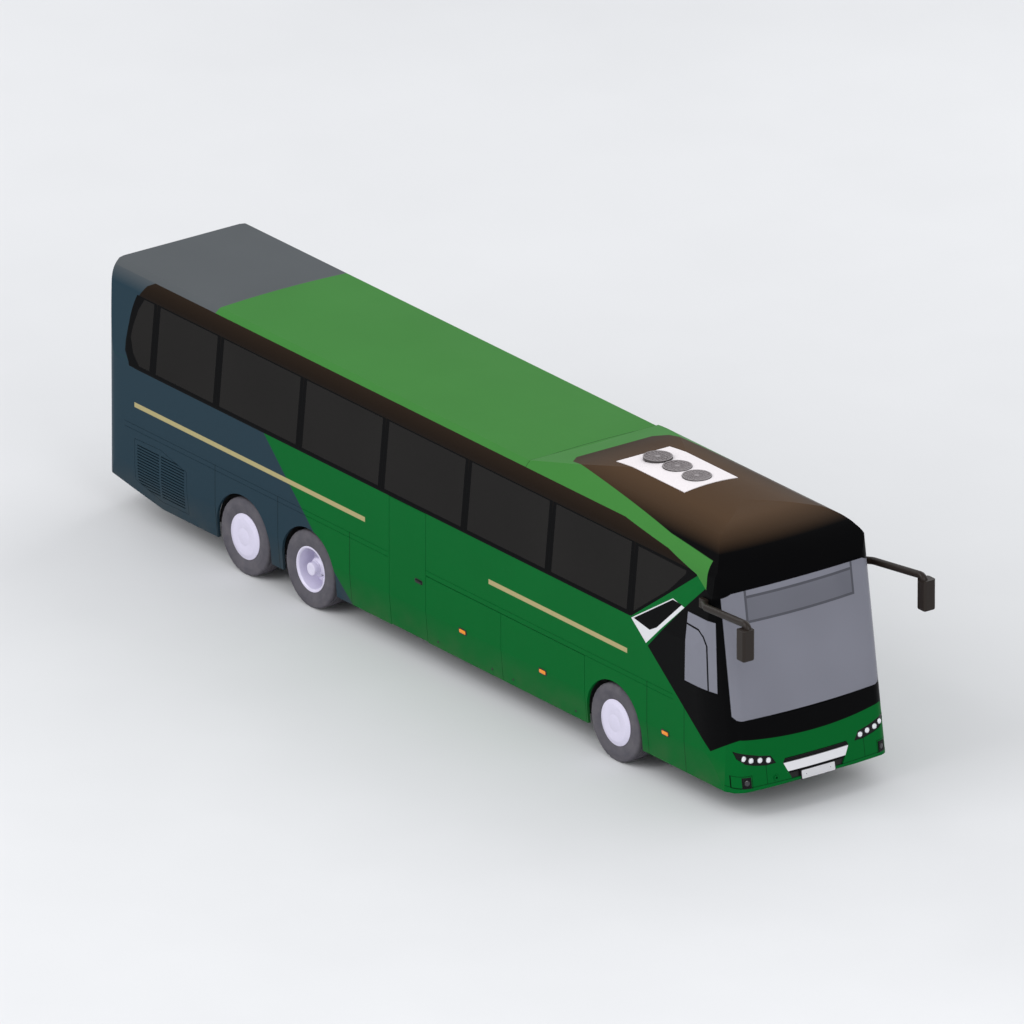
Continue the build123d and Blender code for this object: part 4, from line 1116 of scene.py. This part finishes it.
# the two ends as seen from above: reach of the middle, lean per metre of height above leanFrom,
# and the two rounds of each side as (radius, heading reached)
noseForm = {"reach": 2.580, "lean": 0.16, "leanFrom": 0.60, "way": 1,
            "rounds": ((1.570, 17.8), (0.220, 83.0))}
tailForm = {"reach": -11.030, "lean": 0.0, "leanFrom": 0.60, "way": -1,
            "rounds": ((2.000, 4.0), (0.260, 75.0))}
sideForm = {"half": 1.275, "foot": 1.235, "tuck": 0.040, "low": 0.33, "rise": 0.43, "bend": 0.76}


def onEnd(form, y, z):
    # place on the end's skin, with the directions along it, up it and out of it
    (wide, turnA), (tight, turnB) = [(radius, math.radians(turn)) for radius, turn in form["rounds"]]
    flatHalf = sideForm["half"] - wide * (1 - math.cos(turnA)) - tight * (math.cos(turnA) - math.cos(turnB))
    bow = flatHalf / math.cos(turnB)
    across = min(abs(y), flatHalf + tight * 0.8)
    if across <= flatHalf:
        back, turn = bow - math.sqrt(bow ** 2 - across ** 2), math.asin(across / bow)
    else:
        beyond = across - flatHalf + tight * math.cos(turnB)
        back = bow * (1 - math.sin(turnB)) + tight * math.sin(turnB) - math.sqrt(tight ** 2 - beyond ** 2)
        turn = math.asin(beyond / tight)
    way = form["way"]
    x = form["reach"] - way * back - form["lean"] * (z - form["leanFrom"])
    side = 1 if y >= 0 else -1
    along = Vector((-way * side * math.sin(turn), math.cos(turn), 0))
    up = Vector((-form["lean"], 0, 1)).normalized()
    out = along.cross(up) * way
    return station(x, y, z), along, up, out.normalized()


def sideY(z):
    # distance of the side's skin from the middle plane, below the windows
    if z >= sideForm["bend"]:
        return sideForm["half"]
    return sideForm["foot"] + sideForm["tuck"] * (z - sideForm["low"]) / sideForm["rise"]


def onSide(x, z, sign):
    # the same for a place on the side
    lean = math.atan2(sideForm["tuck"], sideForm["rise"]) if z < sideForm["bend"] else 0.0
    up = Vector((0, sign * math.sin(lean), math.cos(lean)))
    out = Vector((0, sign * math.cos(lean), -math.sin(lean)))
    return station(x, sign * sideY(z), z), Vector((1, 0, 0)), up, out


def panel(build, place, outline, low, high, bevel=0.0):
    # flat prism in the skin's own plane; outline is (along, up) in metres
    spot, along, up, out = place
    build.prism(outline, lambda p, end: spot + along * p[0] + up * p[1] + out * (high if end else low), bevel)


def oblong(width, height, radius=0.0, corners=4):
    # rectangle about the origin with rounded corners
    points = []
    for k, (sx, sy) in enumerate(((1, 1), (-1, 1), (-1, -1), (1, -1))):
        for i in range(corners + 1 if radius else 1):
            angle = math.pi / 2 * (k + (i / corners if radius else 0.5))
            points.append((sx * (width / 2 - radius) + radius * math.cos(angle),
                           sy * (height / 2 - radius) + radius * math.sin(angle)))
    return points


headlamps = {"places": ((0.725, 0.712), (0.848, 0.733), (0.976, 0.752), (1.077, 0.790)), "lens": 0.0345,
             "in": -0.006, "forward": 1.4, "bulge": 0.010}
fogLamps = {"place": (1.060, 0.474), "size": (0.116, 0.138), "lens": 0.040, "ribs": 0.026, "rib": 0.005}
plateSpec = {"z": 0.427, "size": (0.520, 0.110), "out": 0.010, "screws": 0.19}
grilleRibs = {"rows": ((0.500, 0.445), (0.488, 0.440), (0.638, 0.500), (0.680, 0.480)), "parts": 16,
              "half": 0.0022}
towRing = [(-0.012, 0.0255), (0.002, 0.0255), (0.0035, 0.0235), (0.0035, 0.0205), (0.0015, 0.0185),
           (-0.012, 0.0185)]


def makeHeadlamps():
    # four domed lenses a side, each in a bright ring and turned a little forward
    rings, lenses = Builder(), Builder()
    radius = headlamps["lens"]
    bezel = [(-0.020, radius + 0.004), (0.004, radius + 0.004), (0.0055, radius + 0.002), (0.004, radius),
             (-0.006, radius - 0.0015)]
    dome = [(-0.004, radius - 0.0005)]
    for i in range(6):
        angle = math.pi / 2 * i / 5
        dome.append((0.001 + headlamps["bulge"] * math.sin(angle), (radius - 0.0005) * math.cos(angle)))
    for sign in (-1, 1):
        for y, z in headlamps["places"]:
            spot, along, up, out = onEnd(noseForm, sign * y, z)
            aim = (out + Vector((headlamps["forward"], 0, 0))).normalized()
            spot = spot + out * headlamps["in"]
            rings.lathe(bezel, spot, aim, 36)
            lenses.lathe(dome, spot, aim, 36)
    rings.finish("headlampRings", "chromeTrim")
    lenses.finish("headlampLenses", "clearLamp", smooth=50)


def makeFogLamps():
    # round lamp in a ribbed black frame
    frames, lenses = Builder(), Builder()
    width, height = fogLamps["size"]
    radius = fogLamps["lens"]
    y, z = fogLamps["place"]
    ring = [(0.002, radius + 0.006), (0.006, radius + 0.005), (0.006, radius), (0.002, radius)]
    lens = [(0.001, radius), (0.0045, radius * 0.85), (0.0065, radius * 0.5), (0.0070, 0.0)]
    for sign in (-1, 1):
        place = onEnd(noseForm, sign * y, z)
        panel(frames, place, oblong(width, height, 0.012), -0.004, 0.003, 0.0015)
        frames.lathe(ring, place[0], place[3], 36)
        lenses.lathe(lens, place[0], place[3], 36)
        for i in range(-2, 3):
            rib = onEnd(noseForm, sign * y, z + fogLamps["ribs"] * i)
            panel(frames, rib, oblong(width - 0.012, fogLamps["rib"]), 0.002, 0.005)
    frames.finish("fogLampFrames", "glossPlastic")
    lenses.finish("fogLampLenses", "smokedLamp", smooth=50)


def makeFrontPlate():
    # blank number plate on its black holder, with two screws
    width, height = plateSpec["size"]
    out = plateSpec["out"]
    place = onEnd(noseForm, 0, plateSpec["z"])
    holder, plate, screws = Builder(), Builder(), Builder()
    panel(holder, place, oblong(width + 0.018, height + 0.014, 0.008), -0.012, out - 0.003, 0.0015)
    panel(plate, place, oblong(width, height, 0.010), out - 0.004, out, 0.0008)
    cap = [(out - 0.001, 0.0075), (out + 0.0015, 0.007), (out + 0.0022, 0.004), (out + 0.0022, 0.0)]
    for y in (-plateSpec["screws"], plateSpec["screws"]):
        screws.lathe(cap, place[0] + place[1] * y, place[3], 20)
    holder.finish("plateHolder", "blackPlastic")
    plate.finish("blankPlate", "plateWhite")
    screws.finish("plateScrews", "chromeTrim")


def makeGrilleRibs():
    # fine ribs in the black parts of the grille, above and below the white bar
    ribs = Builder()
    thick, parts = grilleRibs["half"], grilleRibs["parts"]
    corners = [(-0.5, -thick), (0.5, -thick), (0.5, thick), (-0.5, thick)]
    for z, half in grilleRibs["rows"]:
        ends = [onEnd(noseForm, -half + 2 * half * i / parts, z) for i in range(parts + 1)]
        for a, b in zip(ends, ends[1:]):
            out = a[3]
            middle, run = (a[0] + b[0]) / 2 - out * 0.012, b[0] - a[0]

            def place(p, end):
                return middle + run * p[0] + Vector((0, 0, p[1])) + out * (0.009 if end else -0.006)

            ribs.prism(corners, place)
    ribs.finish("grilleRibs", "glossPlastic", smooth=30)


def makeTowRing():
    # rubber ring round the mouth of the screw-in towing eye's socket
    mouth = next(mount["pos_m"] for mount in frame["record"]["mounts"] if mount["name"] == "tow_socket_front")
    ring = Builder()
    ring.lathe(towRing, mouth, (1, 0, 0), 40)
    ring.finish("towSocketRing", "blackPlastic")


makeHeadlamps()
makeFogLamps()
makeFrontPlate()
makeTowRing()
makeGrilleRibs()
print("stage: nose details ready")


tailLamps = {"y": 1.060, "lens": 0.047, "stack": ((1.040, 0), (1.180, 1), (1.320, 1), (1.470, 2)),
             "tones": ("amberLamp", "redLamp", "clearLamp"), "steps": 5}
engineHandle = {"y": 0.500, "z": 0.880, "size": (0.170, 0.046)}


def makeTailLamps():
    # a stack of round lenses a side, each moulded in steps
    lenses, rings = Builder(), Builder()
    radius, steps = tailLamps["lens"], tailLamps["steps"]
    profile = [(-0.004, radius), (0.006, radius), (0.010, radius - 0.004)]
    for i in range(1, steps):
        reach = (radius - 0.004) * (1 - i / steps)
        profile += [(0.0095 + 0.0006 * i, reach + 0.0035), (0.0108 + 0.0006 * i, reach)]
    profile.append((0.0138, 0.0))
    ring = [(-0.002, radius + 0.007), (0.003, radius + 0.006), (0.0045, radius + 0.003),
            (0.003, radius + 0.0005), (-0.002, radius + 0.0005)]
    for sign in (-1, 1):
        for z, tone in tailLamps["stack"]:
            spot, along, up, out = onEnd(tailForm, sign * tailLamps["y"], z)
            lenses.material = tone
            lenses.lathe(profile, spot, out, 40)
            rings.lathe(ring, spot, out, 40)
    lenses.finish("tailLenses", tailLamps["tones"])
    rings.finish("tailLensRings", "chromeTrim")


def makeEngineHandle():
    # two recessed grips on the engine flap
    grip, cup = Builder(), Builder()
    width, height = engineHandle["size"]
    z = engineHandle["z"]
    for y in (-engineHandle["y"], engineHandle["y"]):
        panel(cup, onEnd(tailForm, y, z), oblong(width, height, 0.018), -0.004, 0.002, 0.001)
        panel(grip, onEnd(tailForm, y, z + 0.010), oblong(width - 0.03, 0.018, 0.008), 0.0, 0.012, 0.003)
    cup.finish("engineFlapCup", "blackPlastic", "engine_flap")
    grip.finish("engineFlapGrip", "glossPlastic", "engine_flap")


makeTailLamps()
makeEngineHandle()
print("stage: tail details ready")


# station and height of each side marker, its side and the body it is fixed to
markers = ((-3.180, 0.745, -1, "flap_right_rear"), (-1.485, 0.745, -1, "flap_right_front"),
           (1.095, 0.747, -1, "bus"), (-3.180, 0.745, 1, "flap_left_rear"),
           (-1.485, 0.745, 1, "flap_left_front"))
markerSpec = {"size": (0.168, 0.080), "lens": (0.130, 0.050), "out": 0.006}
lockSpec = {"radius": 0.017, "z": 0.415, "in": 0.22}
handleSpec = {"doors": ((-4.115, -1, "middle_door"), (0.900, 1, "entrance_door")), "z": 1.130,
              "size": (0.165, 0.060), "grip": (0.130, 0.020), "key": (0.055, 0, -0.028)}


def makeMarkers():
    # amber side markers in black rims
    for number, (x, z, sign, body) in enumerate(markers):
        rim, lens = Builder(), Builder()
        place, top = onSide(x, z, sign), 0.004
        panel(rim, place, oblong(*markerSpec["size"], 0.022), -0.002, top, 0.0015)
        panel(lens, place, oblong(*markerSpec["lens"], 0.014), 0.003, top + markerSpec["out"], 0.003)
        rim.finish("markerRim_%d" % number, "blackPlastic", body)
        lens.finish("markerLens_%d" % number, "amberLamp", body)


def makeLocks():
    # budget locks near the lower corners of each flap, on the flap's own body
    radius, z = lockSpec["radius"], lockSpec["z"]
    profile = [(-0.003, radius), (0.002, radius), (0.0035, radius - 0.002), (0.0035, radius * 0.55),
               (0.0020, radius * 0.5), (0.0020, 0.0)]
    for side, sign in sides.items():
        for body in ("flap_%s_rear" % side, "flap_%s_front" % side):
            low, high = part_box(body)
            build = Builder()
            for x in (low.x + lockSpec["in"], high.x - lockSpec["in"]):
                spot = Vector((x, sign * sideY(z), z))
                slit = spot + Vector((0, sign * 0.001, 0))
                half = Vector((0.0015, 0.0015, 0.006))
                build.lathe(profile, spot, (0, sign, 0), 28)
                build.box(slit - half, slit + half)
            build.finish("locks_" + body, "blackPlastic", body, 30)


def makeHandles():
    # flush door handle: a dark cup with a grip across it and a key hole below
    for x, sign, body in handleSpec["doors"]:
        cup, grip = Builder(), Builder()
        z = handleSpec["z"]
        place = onSide(x, z + 0.012, sign)
        panel(cup, onSide(x, z, sign), oblong(*handleSpec["size"], 0.020), -0.002, 0.0025, 0.001)
        panel(grip, place, oblong(*handleSpec["grip"], 0.009), 0.002, 0.014, 0.003)
        grip.lathe([(0.002, 0.011), (0.006, 0.011), (0.007, 0.009), (0.007, 0.0)],
                   place[0] + Vector(handleSpec["key"]), place[3], 24)
        cup.finish("handleCup_" + body, "blackPlastic", body)
        grip.finish("handleGrip_" + body, "glossPlastic", body)


makeMarkers()
makeLocks()
makeHandles()
print("stage: side details ready")


mirrorSpec = {"y": (1.369, 1.487), "z": (2.428, 2.747), "x": 2.8885, "dome": 0.0020, "back": 2.8905,
              "columns": 8, "rows": 14}


def makeMirrorGlass():
    # gently domed glass in the rear face of each head
    build = Builder()
    (y0, y1), (z0, z1) = mirrorSpec["y"], mirrorSpec["z"]
    columns, rows = mirrorSpec["columns"], mirrorSpec["rows"]
    for sign in (-1, 1):
        grid = []
        for i in range(rows + 1):
            line = []
            for j in range(columns + 1):
                u, v = j / columns * 2 - 1, i / rows * 2 - 1
                x = mirrorSpec["x"] - mirrorSpec["dome"] * (1 - u * u) * (1 - v * v)
                spot = station(x, sign * (y0 + (y1 - y0) * j / columns), z0 + (z1 - z0) * i / rows)
                line.append(build.bm.verts.new(spot))
            grid.append(line)
        for low, high in zip(grid, grid[1:]):
            for j in range(columns):
                build.face([low[j], low[j + 1], high[j + 1], high[j]])
        back = build.bm.verts.new(station(mirrorSpec["back"], sign * (y0 + y1) / 2, (z0 + z1) / 2))
        up, down = [line[-1] for line in grid[1:]], [line[0] for line in grid[-2:0:-1]]
        edge = grid[0] + up + grid[-1][-2::-1] + down
        for a, b in zip(edge, edge[1:] + edge[:1]):
            build.face([b, a, back])
    build.finish("mirrorGlass", "mirrorGlass", smooth=30)


def makeRoofFans():
    # flat ring-and-spoke guards laid on the skin of the roof unit
    build = Builder()
    unit = nodes["roof_unit"].data
    skin = BVHTree.FromPolygons([v.co for v in unit.vertices], [tuple(p.vertices) for p in unit.polygons])
    rise, sink, wide, radius = [roofFans[key] for key in ("rise", "sink", "wire", "radius")]
    for x in roofFans["x"]:
        centre = station(x, 0, 0)
        for i in range(roofFans["rings"]):
            reach = radius * (i + 1) / roofFans["rings"] - wide
            ring = [(-sink, reach + wide), (rise, reach + wide), (rise, reach - wide), (-sink, reach - wide)]
            build.lathe(ring, centre, (0, 0, 1), roofFans["steps"])
        for i in range(roofFans["spokes"]):
            turn = Matrix.Rotation(2 * math.pi * i / roofFans["spokes"], 3, "Z")
            low, high = (roofFans["hub"], -wide / 2, -sink), (radius - wide, wide / 2, rise * 0.8)
            build.box(centre + Vector(low), centre + Vector(high), 0.0, turn, centre)
    for vert in build.bm.verts:
        hit = skin.ray_cast(Vector((vert.co.x, vert.co.y, cadHigh.z + 1)), Vector((0, 0, -1)))[0]
        vert.co.z = min(vert.co.z + hit.z, cadHigh.z - 0.0003)
    build.finish("fanGuards", "fanGrey", smooth=30)


def bowedBar(build, y0, y1, z0, z1, near, far):
    # bar behind the windscreen that follows its bow; near and far are distances in from the glass
    count = max(1, round(destination["steps"] * (y1 - y0) / (2 * destination["half"])))
    rings = []
    for i in range(count + 1):
        y = y0 + (y1 - y0) * i / count
        spots = [onEnd(noseForm, y, z)[0] - Vector((inward, 0, 0))
                 for z, inward in ((z0, near), (z1, near), (z1, far), (z0, far))]
        rings.append([build.bm.verts.new(spot) for spot in spots])
    build.skin(rings)


def makeDestinationBox():
    # blank display in its frame, with three thin seams across it
    bars, face = Builder(), Builder()
    half, bar, near = destination["half"], destination["bar"], destination["in"]
    low, high, top = destination["low"], destination["high"], destination["top"]
    far, inner, clear = near + destination["deep"], half - bar, high - low - 2 * bar
    for z in (low, high - bar):
        bowedBar(bars, -half, half, z, z + bar, near, far)
    for y in (-half, inner):
        bowedBar(bars, y, y + bar, low + bar, high - bar, near, far)
        bowedBar(bars, y, y + bar, high, top, near + 0.02, far)
    bowedBar(face, -inner, inner, low + bar, high - bar, near + 0.012, near + 0.020)
    for i in range(1, 4):
        z = low + bar + clear * i / 4
        bowedBar(face, -inner, inner, z - 0.001, z + 0.001, near + 0.010, near + 0.013)
    bars.finish("destinationFrame", "displayFrame")
    face.finish("destinationFace", "displayFace")


makeMirrorGlass()
makeRoofFans()
makeDestinationBox()
print("stage: mirrors, fans and destination box ready")


# the racks' section is (distance from the middle plane, height)
rackSpec = {
    "rear": -10.45, "front": 0.20, "pitch": 0.775, "unitY": 0.86, "unitZ": 2.894, "unit": (0.11, 0.05, 0.018),
    "nozzle": [(0.0, 0.020), (0.010, 0.018), (0.012, 0.010), (0.008, 0.0)], "nozzles": 0.06,
    "section": [(1.130, 2.880), (0.700, 2.930), (0.652, 2.955), (0.640, 2.990), (0.660, 3.010),
                (0.700, 3.000), (1.125, 2.960)],
}
# stations, distances from the middle plane and heights in the cab
cab = {
    "wheelY": -0.640, "dials": ((-0.735, 0.040), (-0.640, 0.026), (-0.545, 0.040)), "dialX": 1.8985,
    "dialZ": 1.333, "dialTilt": 0.45, "marks": 11, "firstMark": 225, "markStep": 27, "needle": 200,
    "switches": 8, "switchY": -0.30, "switchStep": 0.042, "pedals": ((-0.11, 0.07), (0.10, 0.055)),
    "pedalTilt": 28,
    "rails": ([(0.74, 0.40, 0.93), (0.74, 0.40, 1.80), (0.74, 0.46, 1.86), (0.74, 1.10, 1.86)],
              [(1.80, 0.40, 0.93), (1.80, 0.40, 1.55), (1.86, 0.40, 1.60), (1.97, 0.40, 1.30)]),
    "rail": 0.017, "railFoot": 0.896,
    "flange": [(0.0, 0.036), (0.006, 0.036), (0.009, 0.030), (0.009, 0.017)],
}


def makeRacks():
    # parcel racks, with reading lamps and air nozzles over each row
    racks, units = Builder(), Builder()
    ends = (rackSpec["rear"], rackSpec["front"])
    half, z = Vector(rackSpec["unit"]), rackSpec["unitZ"]
    for sign in (-1, 1):
        racks.prism(rackSpec["section"], lambda p, end: station(ends[end], sign * p[0], p[1]), 0.004)
        for i in range(int((ends[1] - ends[0]) / rackSpec["pitch"])):
            spot = station(ends[1] - rackSpec["pitch"] * (i + 0.6), sign * rackSpec["unitY"], z)
            units.box(spot - Vector((half.x, half.y, 0)), spot + half, 0.006)
            for dx in (-rackSpec["nozzles"], rackSpec["nozzles"]):
                units.lathe(rackSpec["nozzle"], spot + Vector((dx, 0, 0)), (0, 0, -1), 20)
    racks.finish("parcelRacks", "whitePanel")
    units.finish("readingLamps", "dashGrey")


def makeDials():
    # round gauges under the hood, each with its scale and needle
    dials, marks = Builder(), Builder()
    toward = Vector((-1, 0, cab["dialTilt"])).normalized()
    across = Vector((0, 1, 0))
    high = toward.cross(across).normalized()

    def ray(degrees):
        return across * -math.cos(math.radians(degrees)) + high * math.sin(math.radians(degrees))

    for y, radius in cab["dials"]:
        spot = station(cab["dialX"], y, cab["dialZ"])
        bezel = [(-0.006, radius + 0.003), (0.003, radius + 0.003), (0.004, radius + 0.001), (0.001, radius),
                 (0.001, 0.0)]
        dials.lathe(bezel, spot, toward, 36)
        face = spot + toward * 0.0015
        for i in range(cab["marks"]):
            mark = ray(cab["firstMark"] - cab["markStep"] * i)
            marks.tube([face + mark * radius * 0.78, face + mark * radius * 0.94], 0.0007, 6)
        pin = spot + toward * 0.002
        marks.tube([pin, pin + ray(cab["needle"]) * radius * 0.7], 0.0010, 6)
    dials.finish("dials", "dialFace")
    marks.finish("dialMarks", "plateWhite")


def makeCab():
    # switches on the dash, stalks, pedals and the rails by the stairs
    black, rail = Builder(), Builder()
    wheelY, thick = cab["wheelY"], cab["rail"]
    for i in range(cab["switches"]):
        y = cab["switchY"] + cab["switchStep"] * i
        black.box(station(1.925, y - 0.015, 1.236), station(1.945, y + 0.015, 1.268), 0.003)
    for sign in (-1, 1):
        start = station(1.795, wheelY + sign * 0.04, 1.295)
        bends = [(0, 0, 0), (0.02, sign * 0.10, 0.02), (0.0, sign * 0.165, 0.035)]
        black.tube([start + Vector(bend) for bend in bends], 0.007, 10)
    turn = Matrix.Rotation(math.radians(cab["pedalTilt"]), 3, "Y")
    for apart, wide in cab["pedals"]:
        y = wheelY + apart
        black.box(station(1.93, y - wide / 2, 0.93), station(1.95, y + wide / 2, 1.06), 0.006, turn)
    for bends in cab["rails"]:
        rail.tube([station(*bend) for bend in bends], thick, 16)
        rail.lathe(cab["flange"], station(*bends[0][:2], cab["railFoot"]), (0, 0, 1), 28)
    black.finish("cabControls", "blackPlastic")
    rail.finish("cabRails", "brightSteel")


makeRacks()
makeDials()
makeCab()
print("stage: saloon fittings ready")

low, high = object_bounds()
print("stage: all pieces made")
